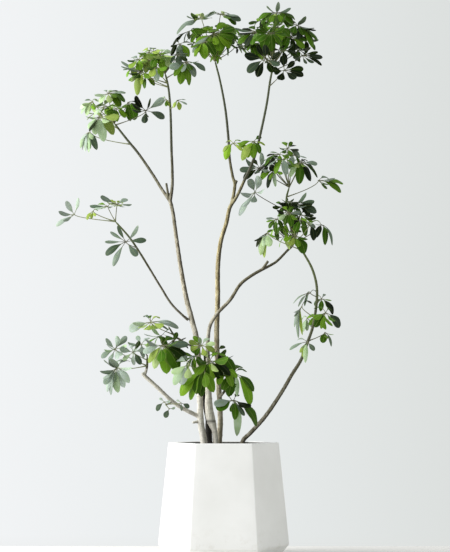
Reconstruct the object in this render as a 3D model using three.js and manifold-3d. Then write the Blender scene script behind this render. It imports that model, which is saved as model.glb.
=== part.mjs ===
// A potted umbrella plant (Schefflera): a faceted white planter full of soil, four bare woody
// stems, and the green shoots at their ends with their umbrella-shaped leaves.
// Millimetres, +Z up. The origin is the middle of the pot's underside and the viewer is at -Y.
import * as THREE from 'three';
import Module from 'manifold-3d';

const wasm = await Module();
wasm.setup();

// Driving dimensions of the pot and its soil
const POT_SIDES = 6;
const POT_HEIGHT = 335;
const POT_RIM_RADIUS = 165;
const POT_BELLY_RADIUS = 195;
const POT_BELLY_HEIGHT = 34;
const POT_BASE_RADIUS = 165;
const POT_WALL = 11;
const POT_FLOOR = 14;
const POT_EDGE = 2.5;
const SOIL_BELOW_RIM = 26;
const SOIL_CROWN = 9;
const SOIL_BUMP = 2.2;
const SOIL_SECTORS = 18;
const SOIL_RINGS = [0.75, 0.5, 0.25];
const SOIL_SEED = 11;
const HOLE_SIDES = 12;

// Pieces that touch keep this much air between them
const GAP = 0.3;

// Stems: how deep they stand in the soil, and how finely they are drawn
const ROOT_DEPTH = 110;
const BARK_SIDES = 7;
const SHOOT_SIDES = 6;
const PETIOLE_SIDES = 3;
const PETIOLE_RADIUS = 1.5;
const PETIOLE_STEPS = 2;
const PETIOLE_RISE = 0.55;
const PETIOLE_ARCH = 0.42;

// One leaf: leaflets round a small hub, each widest past its middle, as shares of the leaf's reach
const HUB_RADIUS = 3.4;
const HUB_HEIGHT = 3;
const BLADE_THICKNESS = 1.1;
const BLADE_STATIONS = [[0.42, 0.13], [0.8, 0.2]];
const SMALL_LEAF_REACH = 80;
const SMALL_BLADE_STATIONS = [[0.68, 0.19]];
const TIP_THICKNESS = 0.9;
const BLADE_LIFT = 0.12;
const INNER_LEAFLET = 0.8;
const LENGTH_VARIATION = 0.05;
const SAG_VARIATION = 0.15;
const SAG_SHORTENING = 0.8;

const BARK = new THREE.MeshStandardMaterial({ color: 0x9c8f78, roughness: 0.8, flatShading: true });
const TAN_BARK = new THREE.MeshStandardMaterial({ color: 0xb09c72, roughness: 0.75, flatShading: true });
const LEAF = new THREE.MeshStandardMaterial({ color: 0x4c7a3a, roughness: 0.45, flatShading: true });
const PALE_LEAF = new THREE.MeshStandardMaterial({ color: 0x84a083, roughness: 0.5, flatShading: true });
const WHITE_POT = new THREE.MeshStandardMaterial({ color: 0xf0f0ee, roughness: 0.45, flatShading: true });
const SOIL = new THREE.MeshStandardMaterial({ color: 0x3b2c20, roughness: 0.95, flatShading: true });

// Woody nodes. Each stem is a route of points [x, y, z, radius]. A stem that ends in green leaves
// names its shoot, and 'bark' is how many spans of its route are bark before the green begins.
const WOOD = {
  trunk_left: {
    material: BARK,
    stems: [
      {
        rooted: true,
        route: [
          [-59, -15, 339, 10.5], [-67, -15, 384, 9.8], [-70, -12, 425, 9.3], [-71, -8, 464, 9],
          [-81, 2, 640, 8.2], [-95, 8, 698, 8], [-111, 16, 759, 7.6], [-121, 22, 808, 7],
          [-135, 32, 891, 6.4], [-145, 40, 959, 6], [-156, 50, 1037, 5.6], [-164, 56, 1068, 6],
        ],
      },
      {
        shoot: 'spray_left_high',
        bark: 3,
        route: [
          [-164, 56, 1068, 5.5], [-186, 64, 1100, 4.8], [-221, 82, 1158, 4.4],
          [-264, 96, 1222, 4], [-302, 108, 1270, 3.6], [-342, 118, 1322, 3],
        ],
      },
      {
        shoot: 'spray_left_top',
        bark: 3,
        route: [
          [-164, 56, 1068, 5.5], [-158, 52, 1108, 4.8], [-157, 44, 1153, 4.5], [-159, 20, 1220, 4],
          [-162, -15, 1346, 3.4], [-168, -32, 1407, 3.1], [-177, -42, 1444, 2.7],
        ],
      },
      { route: [[-168, 56, 1075, 4], [-176, 50, 1123, 3.4]] },
      {
        route: [
          [-76, -12, 413, 6.5], [-118, -30, 434, 6], [-150, -44, 455, 6], [-197, -60, 499, 5.8],
          [-232, -70, 531, 5.6], [-240, -73, 540, 5],
        ],
      },
      {
        shoot: 'spray_low_left',
        bark: 1,
        route: [[-233, -70, 533, 4.6], [-226, -74, 557, 3.6], [-225, -78, 590, 2.8]],
      },
      {
        shoot: 'spray_left_mid',
        bark: 4,
        route: [
          [-107, 8, 701, 4.5], [-124, -2, 715, 3.8], [-156, -16, 747, 3.5], [-188, -34, 797, 3.3],
          [-219, -54, 848, 3.2], [-248, -70, 895, 3.1], [-278, -84, 939, 2.9], [-320, -98, 986, 2.5],
        ],
      },
      {
        shoot: 'spray_low_shoot',
        bark: 2,
        route: [
          [-79, 0, 616, 4], [-108, -18, 627, 3.2], [-133, -34, 642, 3], [-143, -42, 647, 2.8],
          [-164, -52, 678, 2.4],
        ],
      },
      {
        shoot: 'sprout_low',
        bark: 1,
        route: [[-153, -45, 456, 3], [-164, -58, 449, 2.2], [-173, -66, 446, 1.6]],
      },
      { route: [[-69, -14, 398, 5], [-92, -26, 394, 3.6]] },
    ],
  },
  trunk_centre: {
    material: TAN_BARK,
    stems: [
      {
        rooted: true,
        route: [
          [-13, 28, 338, 8.6], [-10, 26, 395, 8.2], [-14, 22, 488, 8], [-21, 14, 647, 7.8],
          [-18, 12, 761, 7.4], [-17, 10, 873, 7], [-8, 10, 942, 6.6], [8, 12, 995, 6.3],
          [18, 14, 1041, 6], [24, 14, 1053, 6],
        ],
      },
      {
        shoot: 'spray_centre_top',
        bark: 4,
        route: [
          [24, 14, 1053, 5.5], [30, 20, 1082, 5], [34, 24, 1116, 5], [28, 28, 1138, 4.4],
          [18, 36, 1198, 4.1], [15, 42, 1252, 3.9], [5, 52, 1353, 3.5], [-12, 60, 1446, 3.1],
          [-27, 64, 1506, 2.7],
        ],
      },
      {
        shoot: 'spray_right_top',
        bark: 3,
        route: [
          [24, 14, 1053, 5.5], [34, 8, 1066, 5], [48, 2, 1091, 4.7], [63, -4, 1124, 4.5],
          [79, -12, 1157, 4.3], [96, -22, 1201, 4], [112, -36, 1265, 3.7], [130, -52, 1351, 3.4],
          [140, -64, 1418, 3.1], [149, -70, 1463, 2.7],
        ],
      },
      { route: [[33, 24, 1112, 4.6], [40, 22, 1127, 4]] },
      {
        shoot: 'spray_low_right',
        bark: 1,
        route: [[-15, 22, 467, 4.5], [1, 2, 485, 3.9], [13, -18, 511, 3.3], [19, -30, 538, 2.8]],
      },
    ],
  },
  stem_middle: {
    material: BARK,
    stems: [
      {
        rooted: true,
        route: [
          [-21, -12, 339, 8], [-23, -13, 369, 7.5], [-38, -14, 401, 10.5], [-44, -16, 440, 8.6],
          [-45, -18, 479, 7.2], [-47, -20, 565, 6.4], [-47, -22, 639, 5.8], [-40, -24, 684, 5.6],
          [-20, -25, 717, 5.4], [19, -20, 759, 5.2], [51, -8, 808, 5], [82, 0, 833, 4.8],
          [113, 8, 852, 4.8],
        ],
      },
      {
        shoot: 'spray_right_upper',
        bark: 3,
        route: [
          [113, 8, 852, 4.8], [140, 16, 866, 4.2], [160, 22, 879, 4], [191, 32, 911, 3.8],
          [212, 40, 936, 3.6], [203, 50, 1009, 3.3], [192, 58, 1073, 3], [201, 60, 1112, 2.6],
        ],
      },
      { route: [[116, 8, 853, 4.4], [134, -2, 878, 4]] },
      {
        shoot: 'spray_low_centre',
        bark: 1,
        route: [[-46, -19, 505, 4.5], [-49, -42, 535, 3.8], [-55, -60, 573, 3.2], [-58, -68, 608, 2.6]],
      },
    ],
  },
  stem_right: {
    material: BARK,
    stems: [
      {
        rooted: true,
        shoot: 'spray_right_arch',
        bark: 4,
        route: [
          [57, -20, 339, 6.6], [78, -24, 362, 6.4], [120, -34, 408, 6.2], [170, -50, 481, 5.8],
          [202, -60, 536, 5.4], [228, -66, 578, 4.9], [249, -72, 634, 4.5], [263, -76, 675, 4.2],
          [274, -80, 743, 4], [276, -80, 782, 3.8], [272, -80, 814, 3.7], [261, -78, 850, 3.5],
          [244, -74, 883, 3.3], [227, -70, 910, 3], [210, -68, 925, 2.6],
        ],
      },
    ],
  },
};

// Leaves of each green shoot, one row a leaf: the hub's x, y and z, the reach of its longest
// leaflet, how far its axis leans from upright and towards which compass angle (0 is +X and 90
// is +Y), the number of leaflets, and how far they droop as a share of their reach.
const LEAVES = {
  spray_left_high: [
    [-360, 95, 1410, 74, 35, 265, 6, 0.4],
    [-405, 70, 1380, 58, 35, 215, 5, 0.4],
    [-380, 45, 1330, 94, 55, 262, 6, 0.45],
    [-415, 95, 1290, 69, 20, 200, 6, 0.9],
    [-300, 130, 1390, 67, 20, 0, 6, 0.55],
    [-240, 60, 1350, 78, 62, 275, 6, 0.1],
    [-365, 175, 1385, 67, 30, 90, 6, 0.5],
  ],
  spray_left_top: [
    [-245, -60, 1445, 78, 25, 200, 6, 0.45],
    [-240, -20, 1495, 52, 30, 150, 5, 0.3],
    [-215, 0, 1520, 54, 25, 90, 5, 0.4],
    [-190, -55, 1500, 62, 30, 330, 5, 0.5],
    [-200, -95, 1450, 54, 30, 260, 5, 0.8],
    [-110, -85, 1470, 85, 52, 272, 6, 0.2],
    [-135, -15, 1540, 58, 15, 10, 5, 0.35],
    [-175, -10, 1370, 40, 25, 190, 4, 0.5],
    [-140, -45, 1360, 43, 30, 330, 4, 0.4],
  ],
  spray_centre_top: [
    [-70, 70, 1645, 103, 18, 190, 6, 0.45],
    [-10, 90, 1660, 76, 15, 20, 6, 0.35],
    [-30, 15, 1580, 78, 66, 270, 6, 0.1],
    [-25, 40, 1520, 40, 25, 300, 4, 0.4],
    [35, 62, 1550, 47, 25, 20, 5, 0.4],
    [-85, 110, 1575, 49, 30, 160, 5, 0.4],
    [-5, 130, 1615, 65, 35, 80, 6, 0.4],
    [-100, 35, 1595, 58, 30, 200, 5, 0.5],
    [25, 45, 1610, 52, 35, 330, 5, 0.5],
  ],
  spray_right_top: [
    [160, -60, 1625, 74, 25, 270, 6, 0.4],
    [220, -50, 1590, 85, 30, 340, 6, 0.45],
    [100, -70, 1565, 81, 32, 215, 6, 0.35],
    [140, -148, 1540, 67, 48, 268, 6, 0.35],
    [245, -15, 1555, 58, 30, 45, 5, 0.4],
    [125, -125, 1470, 83, 58, 255, 6, 0.2],
    [180, -120, 1435, 65, 62, 278, 6, 0.15],
    [235, -80, 1490, 74, 35, 310, 6, 0.35],
    [175, -95, 1500, 49, 40, 270, 5, 0.4],
    [185, -5, 1585, 69, 30, 90, 6, 0.45],
    [30, -40, 1230, 58, 20, 200, 5, 0.6],
    [90, -45, 1235, 58, 25, 290, 5, 0.6],
    [115, -25, 1610, 56, 25, 150, 5, 0.4],
  ],
  spray_right_upper: [
    [110, 20, 1165, 73, 42, 232, 6, 0.2],
    [140, 60, 1200, 49, 25, 150, 5, 0.4],
    [170, 10, 1205, 56, 30, 265, 5, 0.5],
    [195, 50, 1230, 54, 20, 80, 5, 0.4],
    [240, 90, 1195, 58, 12, 30, 5, 0.3],
    [230, 15, 1180, 81, 38, 275, 6, 0.55],
    [290, 45, 1130, 85, 18, 350, 6, 0.3],
    [155, 0, 1155, 67, 40, 250, 6, 0.4],
    [95, 15, 1090, 90, 48, 228, 6, 0.3],
  ],
  spray_right_arch: [
    [215, -60, 1045, 78, 28, 330, 6, 0.35],
    [180, -45, 1040, 52, 25, 170, 5, 0.4],
    [190, -115, 1010, 56, 50, 270, 5, 0.3],
    [160, -85, 995, 52, 30, 200, 5, 0.4],
    [290, -70, 980, 83, 22, 340, 6, 0.8],
    [250, -150, 970, 52, 45, 280, 5, 0.4],
    [210, -105, 945, 69, 50, 280, 6, 0.4],
    [130, -80, 955, 85, 28, 205, 6, 0.75],
    [160, -30, 970, 47, 30, 120, 5, 0.5],
    [255, -95, 775, 56, 18, 250, 5, 0.45],
    [228, -125, 732, 99, 25, 215, 6, 0.85],
    [250, -40, 705, 56, 35, 160, 5, 0.35],
    [298, -120, 715, 90, 30, 310, 6, 0.6],
    [290, -60, 760, 47, 25, 30, 5, 0.4],
    [245, -110, 630, 67, 42, 258, 6, 0.5],
    [300, -60, 660, 49, 30, 20, 5, 0.5],
    [230, -30, 1015, 63, 35, 60, 6, 0.4],
  ],
  spray_left_mid: [
    [-440, -115, 1005, 74, 48, 232, 6, 0.2],
    [-385, -110, 1015, 38, 25, 200, 4, 0.5],
    [-345, -70, 1035, 63, 12, 170, 6, 0.3],
    [-315, -105, 1035, 60, 25, 310, 5, 0.2],
    [-285, -150, 920, 83, 66, 268, 6, 0.12],
  ],
  spray_low_left: [
    [-265, -95, 600, 56, 42, 258, 5, 0.3],
    [-320, -75, 610, 63, 42, 225, 6, 0.3],
    [-310, -115, 555, 90, 35, 225, 6, 0.6],
    [-245, -35, 625, 56, 25, 120, 5, 0.5],
  ],
  spray_low_shoot: [
    [-215, -70, 690, 87, 12, 230, 6, 0.35],
    [-180, -115, 620, 99, 48, 275, 6, 0.5],
    [-150, -75, 635, 63, 25, 320, 6, 0.5],
  ],
  spray_low_centre: [
    [-65, -72, 620, 54, 25, 260, 5, 0.4],
    [-40, -105, 575, 90, 48, 268, 6, 0.5],
    [-100, -155, 565, 90, 35, 235, 6, 0.7],
    [-20, -80, 605, 58, 35, 330, 5, 0.5],
  ],
  spray_low_right: [
    [30, -60, 540, 101, 42, 285, 6, 0.6],
    [0, -85, 555, 65, 45, 270, 6, 0.5],
    [30, -75, 460, 98, 38, 285, 6, 0.6],
  ],
  sprout_low: [
    [-175, -72, 455, 29, 30, 200, 4, 0.3],
    [-160, -66, 435, 29, 40, 290, 4, 0.4],
  ],
};
const PALE_SPRAYS = ['spray_low_left', 'sprout_low'];

const UP = new THREE.Vector3(0, 0, 1);
const degrees = THREE.MathUtils.degToRad;
const vector = ([x, y, z]) => new THREE.Vector3(x, y, z);

// A seeded draw, so that every build gives the same plant
function seededDraw(seed) {
  let state = seed;
  return () => {
    state = (state * 1664525 + 1013904223) % 4294967296;
    return state / 4294967296;
  };
}

function solid(points, triangles) {
  const vertProperties = new Float32Array(points.flatMap((point) => point.toArray()));
  const triVerts = new Uint32Array(triangles.flat());
  return new wasm.Manifold(new wasm.Mesh({ numProp: 3, vertProperties, triVerts }));
}

function mesh(name, body, material) {
  const { vertProperties, triVerts } = body.getMesh();
  const geometry = new THREE.BufferGeometry();
  geometry.setAttribute('position', new THREE.BufferAttribute(vertProperties, 3));
  geometry.setIndex(new THREE.BufferAttribute(triVerts, 1));
  const result = new THREE.Mesh(geometry, material);
  result.name = name;
  return result;
}

// Skins a row of rings of equal count, each going anticlockwise as seen from the row's far end
function loft(rings) {
  const count = rings[0].length;
  const triangles = [];
  for (let ring = 0; ring + 1 < rings.length; ring += 1) {
    for (let i = 0; i < count; i += 1) {
      const j = (i + 1) % count;
      const near = ring * count;
      const far = near + count;
      triangles.push([near + i, near + j, far + j], [near + i, far + j, far + i]);
    }
  }
  const last = (rings.length - 1) * count;
  for (let i = 1; i + 1 < count; i += 1) {
    triangles.push([0, i + 1, i], [last, last + i, last + i + 1]);
  }
  return solid(rings.flat(), triangles);
}

function polygon(sides, radius, z) {
  return Array.from({ length: sides }, (_, i) => {
    const angle = (2 * Math.PI * i) / sides;
    return new THREE.Vector3(radius * Math.cos(angle), radius * Math.sin(angle), z);
  });
}

// The pot's outer corner radius at a height above its belly
function potRadius(z) {
  return THREE.MathUtils.mapLinear(
    z, POT_BELLY_HEIGHT, POT_HEIGHT, POT_BELLY_RADIUS, POT_RIM_RADIUS);
}

// A wall of even thickness sets a corner back by more than the flat faces
const CORNER = 1 / Math.cos(Math.PI / POT_SIDES);

function pot() {
  const inner = (z) => potRadius(z) - POT_WALL * CORNER;
  const outline = [
    [inner(POT_BELLY_HEIGHT) - POT_WALL, POT_FLOOR],
    [inner(POT_BELLY_HEIGHT), POT_BELLY_HEIGHT],
    [inner(POT_HEIGHT), POT_HEIGHT - POT_EDGE],
    [inner(POT_HEIGHT) + POT_EDGE, POT_HEIGHT],
    [POT_RIM_RADIUS - POT_EDGE, POT_HEIGHT],
    [potRadius(POT_HEIGHT - POT_EDGE), POT_HEIGHT - POT_EDGE],
    [POT_BELLY_RADIUS, POT_BELLY_HEIGHT],
    [POT_BASE_RADIUS, 0],
  ];
  return loft(outline.map(([radius, z]) => polygon(POT_SIDES, radius, z)).reverse());
}

// The soil fills the pot's hollow, a gap clear of it, under a crowned and lumpy surface
function soilBody() {
  const clearance = POT_WALL * CORNER + GAP;
  const edge = POT_HEIGHT - SOIL_BELOW_RIM;
  const ring = (z, corner) => Array.from({ length: SOIL_SECTORS }, (_, i) => {
    const angle = (2 * Math.PI * i) / SOIL_SECTORS;
    const sector = Math.PI / POT_SIDES;
    const offCorner = (angle % (2 * sector)) - sector;
    const radius = (corner * Math.cos(sector)) / Math.cos(offCorner);
    return new THREE.Vector3(radius * Math.cos(angle), radius * Math.sin(angle), z);
  });
  const draw = seededDraw(SOIL_SEED);
  const rings = [
    ring(POT_FLOOR + GAP, potRadius(POT_BELLY_HEIGHT) - clearance - POT_WALL),
    ring(POT_BELLY_HEIGHT, potRadius(POT_BELLY_HEIGHT) - clearance),
    ring(edge, potRadius(edge) - clearance),
  ];
  for (const share of SOIL_RINGS) {
    const lumpy = ring(edge, (potRadius(edge) - clearance) * share);
    for (const point of lumpy) {
      point.z += SOIL_CROWN * (1 - share * share) + SOIL_BUMP * (2 * draw() - 1);
    }
    rings.push(lumpy);
  }
  return loft(rings);
}

// The points of a route with the direction of the smooth curve through them, their radius, and
// a sideways direction that turns as little as it can
function sections(route) {
  const curve = new THREE.CatmullRomCurve3(route.map(vector), false, 'centripetal');
  const side = new THREE.Vector3(1, 0, 0);
  return route.map((point, i) => {
    const along = curve.getTangent(i / (route.length - 1));
    side.addScaledVector(along, -side.dot(along)).normalize();
    return { centre: vector(point), along, side: side.clone(), radius: point[3] };
  });
}

function tube(row, sides) {
  return loft(row.map(({ centre, along, side, radius }) => {
    const other = along.clone().cross(side);
    return Array.from({ length: sides }, (_, i) => {
      const angle = (2 * Math.PI * i) / sides;
      return centre.clone()
        .addScaledVector(side, radius * Math.cos(angle))
        .addScaledVector(other, radius * Math.sin(angle));
    });
  }));
}

// A rooted stem stands straight down in the soil below its first point
function rootedRoute(route) {
  const [x, y, z, radius] = route[0];
  return [[x, y, z - ROOT_DEPTH, radius], [x, y, z - ROOT_DEPTH / 2, radius], ...route];
}

// The bark part of a stem and its green part, which meet face to face with a gap between them
function splitStem({ route, rooted, bark }) {
  const whole = rooted ? rootedRoute(route) : route;
  const row = sections(whole);
  const cut = bark === undefined ? row.length - 1 : bark + whole.length - route.length;
  const green = row.slice(cut).map((section) => ({ ...section, centre: section.centre.clone() }));
  green[0].centre.addScaledVector(green[0].along, GAP);
  return { wood: row.slice(0, cut + 1), green };
}

// A plain upright hole, a gap clear of the stem that stands in it
function stemHole([x, y, z, radius]) {
  const holeRadius = (radius + GAP) / Math.cos(Math.PI / HOLE_SIDES);
  return loft([z - ROOT_DEPTH - GAP, POT_HEIGHT].map((height) =>
    polygon(HOLE_SIDES, holeRadius, height).map((point) => point.add(new THREE.Vector3(x, y, 0)))));
}

// The leaf's own directions: downhill, across, and its axis
function leafFrame(lean, toward) {
  const away = new THREE.Vector3(Math.cos(degrees(toward)), Math.sin(degrees(toward)), 0);
  const axis = away.clone().multiplyScalar(Math.sin(degrees(lean)));
  axis.z = Math.cos(degrees(lean));
  const across = new THREE.Vector3(-away.y, away.x, 0);
  return { downhill: across.clone().cross(axis), across, axis };
}

// Joins two four-cornered rings, given by the numbers of their points. Both broad faces are
// split along the same diagonal, so that a bent blade never crosses itself.
function joinRings(triangles, near, far) {
  for (const [i, j] of [[0, 1], [1, 2], [3, 0]]) {
    triangles.push([near[i], near[j], far[j]], [near[i], far[j], far[i]]);
  }
  triangles.push([near[2], near[3], far[2]], [near[3], far[3], far[2]]);
}

function joinTip(triangles, near, [below, above]) {
  triangles.push([near[0], near[1], below], [near[2], near[3], above]);
  triangles.push([near[1], near[2], above], [near[1], above, below]);
  triangles.push([near[3], near[0], below], [near[3], below, above]);
}

// A leaf: each side of the hub, a small prism, runs out into one thin arched leaflet. The
// leaflets on the side away from the stalk are the longest.
function leaf([x, y, z, reach, lean, toward, count, droop], stalk, draw) {
  const hub = new THREE.Vector3(x, y, z);
  const outward = hub.clone().sub(stalk).normalize();
  const { downhill, across, axis } = leafFrame(lean, toward);
  const spoke = (turn) => {
    const angle = (2 * Math.PI * turn) / count;
    return downhill.clone().multiplyScalar(Math.cos(angle)).addScaledVector(across, Math.sin(angle));
  };
  const stations = reach > SMALL_LEAF_REACH ? BLADE_STATIONS : SMALL_BLADE_STATIONS;
  const vary = (share) => 1 + share * (2 * draw() - 1);
  const start = draw();
  const points = [];
  const triangles = [];
  for (let i = 0; i < count; i += 1) {
    const corner = spoke(i + start - 0.5).multiplyScalar(HUB_RADIUS).add(hub);
    points.push(corner.clone().addScaledVector(axis, -HUB_HEIGHT / 2));
    points.push(corner.clone().addScaledVector(axis, HUB_HEIGHT / 2));
  }
  for (let i = 1; i + 1 < count; i += 1) {
    triangles.push([0, 2 * i + 2, 2 * i], [1, 2 * i + 1, 2 * i + 3]);
  }
  for (let i = 0; i < count; i += 1) {
    const out = spoke(i + start);
    const width = spoke(i + start + count / 4);
    const outer = INNER_LEAFLET + (1 - INNER_LEAFLET) * out.dot(outward);
    const length = reach * outer * vary(LENGTH_VARIATION);
    const sag = droop * vary(SAG_VARIATION);
    const spread = (length - HUB_RADIUS) / Math.sqrt(1 + SAG_SHORTENING * sag * sag);
    const path = (share) => hub.clone()
      .addScaledVector(out, HUB_RADIUS + spread * share)
      .addScaledVector(axis, length * BLADE_LIFT * share)
      .addScaledVector(UP, -sag * length * share * share);
    const place = (share, sideways, up) => {
      const along = path(share).sub(path(share - 0.1));
      const normal = along.cross(width).normalize();
      points.push(path(share).addScaledVector(width, sideways).addScaledVector(normal, up));
      return points.length - 1;
    };
    const next = (i + 1) % count;
    let near = [2 * i, 2 * next, 2 * next + 1, 2 * i + 1];
    for (const [share, halfWidth] of stations) {
      const side = halfWidth * length;
      const up = BLADE_THICKNESS / 2;
      const far = [[-side, -up], [side, -up], [side, up], [-side, up]]
        .map(([sideways, height]) => place(share, sideways, height));
      joinRings(triangles, near, far);
      near = far;
    }
    joinTip(triangles, near, [-TIP_THICKNESS, TIP_THICKNESS].map((up) => place(1, 0, up / 2)));
  }
  return solid(points, triangles);
}

// The section of the shoot that a leaf grows from: the one from which its stalk rises best
function stalkSection(green, [x, y, z]) {
  const misfit = ({ centre }) =>
    Math.abs(z - centre.z - PETIOLE_RISE * Math.hypot(x - centre.x, y - centre.y));
  const fits = green.slice(1).sort((a, b) => misfit(a) - misfit(b));
  return fits[0];
}

// A leaf's stalk leaves the middle of the shoot and comes up into the hub along its axis
function petiole(section, [x, y, z, , lean, toward]) {
  const hub = new THREE.Vector3(x, y, z);
  const { axis } = leafFrame(lean, toward);
  const length = hub.distanceTo(section.centre);
  const knee = hub.clone().addScaledVector(axis, -length * PETIOLE_ARCH);
  const curve = new THREE.QuadraticBezierCurve3(section.centre, knee, hub);
  const row = curve.getPoints(PETIOLE_STEPS).map((point) => [...point.toArray(), PETIOLE_RADIUS]);
  return tube(sections(row), PETIOLE_SIDES);
}

function spray(name, green, seed) {
  const draw = seededDraw(seed);
  let body = tube(green, SHOOT_SIDES);
  for (const entry of LEAVES[name]) {
    const section = stalkSection(green, entry);
    body = body.add(petiole(section, entry)).add(leaf(entry, section.centre, draw));
  }
  return body;
}

const plant = new THREE.Group();
plant.add(mesh('pot', pot(), WHITE_POT));

let soil = soilBody();
for (const [name, { material, stems }] of Object.entries(WOOD)) {
  let wood;
  for (const stem of stems) {
    const parts = splitStem(stem);
    const piece = tube(parts.wood, BARK_SIDES);
    wood = wood ? wood.add(piece) : piece;
    if (stem.rooted) {
      soil = soil.subtract(stemHole(stem.route[0]));
    }
    if (stem.shoot) {
      const leafColour = PALE_SPRAYS.includes(stem.shoot) ? PALE_LEAF : LEAF;
      plant.add(mesh(stem.shoot, spray(stem.shoot, parts.green, plant.children.length), leafColour));
    }
  }
  plant.add(mesh(name, wood, material));
}
plant.add(mesh('soil', soil, SOIL));

export default plant;
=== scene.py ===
"""The looks of a potted umbrella plant: a six-sided white planter, its soil, four bare woody stems and
the green shoots with their stalked, umbrella-shaped leaves.

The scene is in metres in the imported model's frame: +Z up, the viewer at -Y. The tables and the shapes that
are built from them are in millimetres. The tables repeat the routes and the leaf places of the solids, so
each piece lies where its solid is.
"""

import math
import random

import bpy
import numpy as np
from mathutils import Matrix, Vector, kdtree, noise


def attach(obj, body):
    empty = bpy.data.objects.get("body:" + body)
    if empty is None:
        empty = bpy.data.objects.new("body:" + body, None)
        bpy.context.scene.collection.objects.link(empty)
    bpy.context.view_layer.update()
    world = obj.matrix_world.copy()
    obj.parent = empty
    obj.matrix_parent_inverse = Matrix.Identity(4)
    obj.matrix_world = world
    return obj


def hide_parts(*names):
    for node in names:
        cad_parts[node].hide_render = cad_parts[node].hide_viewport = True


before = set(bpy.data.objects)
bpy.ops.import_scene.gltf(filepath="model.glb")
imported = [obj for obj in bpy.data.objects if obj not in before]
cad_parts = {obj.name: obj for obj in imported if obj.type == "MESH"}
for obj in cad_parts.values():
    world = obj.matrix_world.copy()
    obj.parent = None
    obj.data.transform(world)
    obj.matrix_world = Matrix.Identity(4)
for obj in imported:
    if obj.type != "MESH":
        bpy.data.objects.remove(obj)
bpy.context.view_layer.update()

MM = 0.001
UP = np.array([0.0, 0.0, 1.0])
TURN = 2 * math.pi
ANY_TURN = (0, 6.28)

# The pot and its soil
POT_SIDES = 6
POT_HEIGHT = 335
POT_RIM_RADIUS = 165
POT_BELLY_RADIUS = 195
POT_BELLY_HEIGHT = 34
POT_BASE_RADIUS = 165
POT_FOOT_BEVEL = 12
POT_WALL = 11
POT_FLOOR = 14
POT_CORNER = 5
POT_EDGE = 4
POT_RINGS = (80, 130, 180, 230, 280)
POT_FLOOR_RING = 40
POT_UNEVENNESS = 0.5
POT_WAVE = 60
CORNER_STEPS = 4
SIDE_STEPS = 8
SOIL_EDGE = 309
SOIL_CROWN = 9
SOIL_GAP = 0.4
SOIL_SECTORS = 168
SOIL_SHARES = (1.0, 0.985, *np.linspace(0.96, 0.02, 46))
SOIL_SHOULDER = 6
SOIL_LIFT = 0.5
EDGE_DIP = 2.5
# The soil's swells, each with its size, its layer of the noise and its height, and the rise at each foot
SOIL_SWELLS = ((26, 3, 3.2), (8, 7, 1.8), (3.2, 1, 0.9))
FOOT_RISE = 5
FOOT_SPREAD = 9
CRUMBS = 620
CRUMB_MARGIN = 4
CRUMB_SIZE = (1.2, 3.6)
CRUMB_UNEVENNESS = (0.82, 1.15)
GRIT_SHARE = 0.07
CRUMB_RINGS = 5
CRUMB_SIDES = 7

# How far from the axis the middle of a side lies when a corner lies 1 away, and the reverse
SIDE_SHARE = math.cos(math.pi / POT_SIDES)
CORNER_SHARE = 1 / SIDE_SHARE

# Wood is remeshed at this pitch, so that branches grow out of their trunks without a seam
WOOD_PITCH = 1.25
WOOD_STEP = 3
WOOD_SIDES = 18
ROOT_DEPTH = 110
ROOT_SWELL = 1.1
# Leaf scars of the bark: their places, sizes and reach round the stem, their ridges and dark lines
SCAR_START = (4, 20)
SCAR_GAP = (11, 30)
SCAR_TURN = 2.4
SCAR_SIZE = (0.5, 1.1)
SCAR_SPREAD = 1.1
SCAR_ARCH = 1.8
RIDGE_WIDTH = 2
RIDGE_ALL_ROUND, RIDGE_AT_SCAR = 0.035, 0.06
SCAR_LINE = 1.9
SCAR_LINE_WIDTH = 0.9
LINE_ALL_ROUND, LINE_AT_SCAR = 0.35, 0.65
# Lumps and long grain of the bark
LUMP_SIZE = 14
LUMP_HEIGHT = 0.05
GRAIN_SIZE = (3.2, 3.2, 9)
GRAIN_HEIGHT = 0.28
# The radius below which a stem begins to be green, how soon it is green, and how green it is, more
# towards its top
GREEN_BELOW = 6.5
GREEN_WITHIN = 3.0
GREEN_SLENDER, GREEN_TOP = 0.95, 0.4
# The heights, in metres, between which the stems darken into the shade of the heads
HEAD_SHADE = (0.98, 1.2)
# A green stem, its bud and its ring scars
SHOOT_PITCH = 4
SHOOT_SIDES = 14
BUD = (0.9, 0.7, 0.35)
RING_COUNT = 60
RING_GAP = (9, 24)
RING_HEIGHT = 0.32
RING_WIDTH = 2.2

# A leaf's stalk: how steeply it rises from its shoot, how far it bows, and its radii along its length
USUAL_RISE = 0.5
PETIOLE_RISE = {"spray_left_mid": 0.12, "spray_left_high": 0.3}
PETIOLE_ARCH = 0.2
PETIOLE_RADII = ([0, 0.08, 0.2, 0.9, 1], [2.5, 1.8, 1.3, 1.15, 1.5])
PETIOLE_STEPS = 15
STALK_SIDES = 8
# The knot where the leaflets meet: its radius, its growth with the leaf's reach, its heights and widths
HUB_RADIUS = 1.7
HUB_GROWTH = 0.008
HUB_PROFILE = [[-1.15, 0.5], [-0.95, 0.72], [-0.5, 0.98], [0.0, 1.0], [0.4, 0.75], [0.62, 0.3]]

# A star of leaflets: how unevenly they stand, reach and sag, their first rise, and what shortens them
STAR_JITTER = (-0.14, 0.14)
STAR_REACH = (0.93, 1.04)
STAR_SAG = (0.75, 1.2)
STAR_LIFT = 0.12
INNER_LEAFLET = 0.8
SAG_SHORTENING = 0.8
# A fan of leaflets: their least length as a share of the leaf's reach, their first rise and their width
FAN_REACH = (0.62, 0.8)
FAN_SPREAD = 0.64
FAN_LIFT = 0.13
FAN_WIDTH = 0.88

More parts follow.
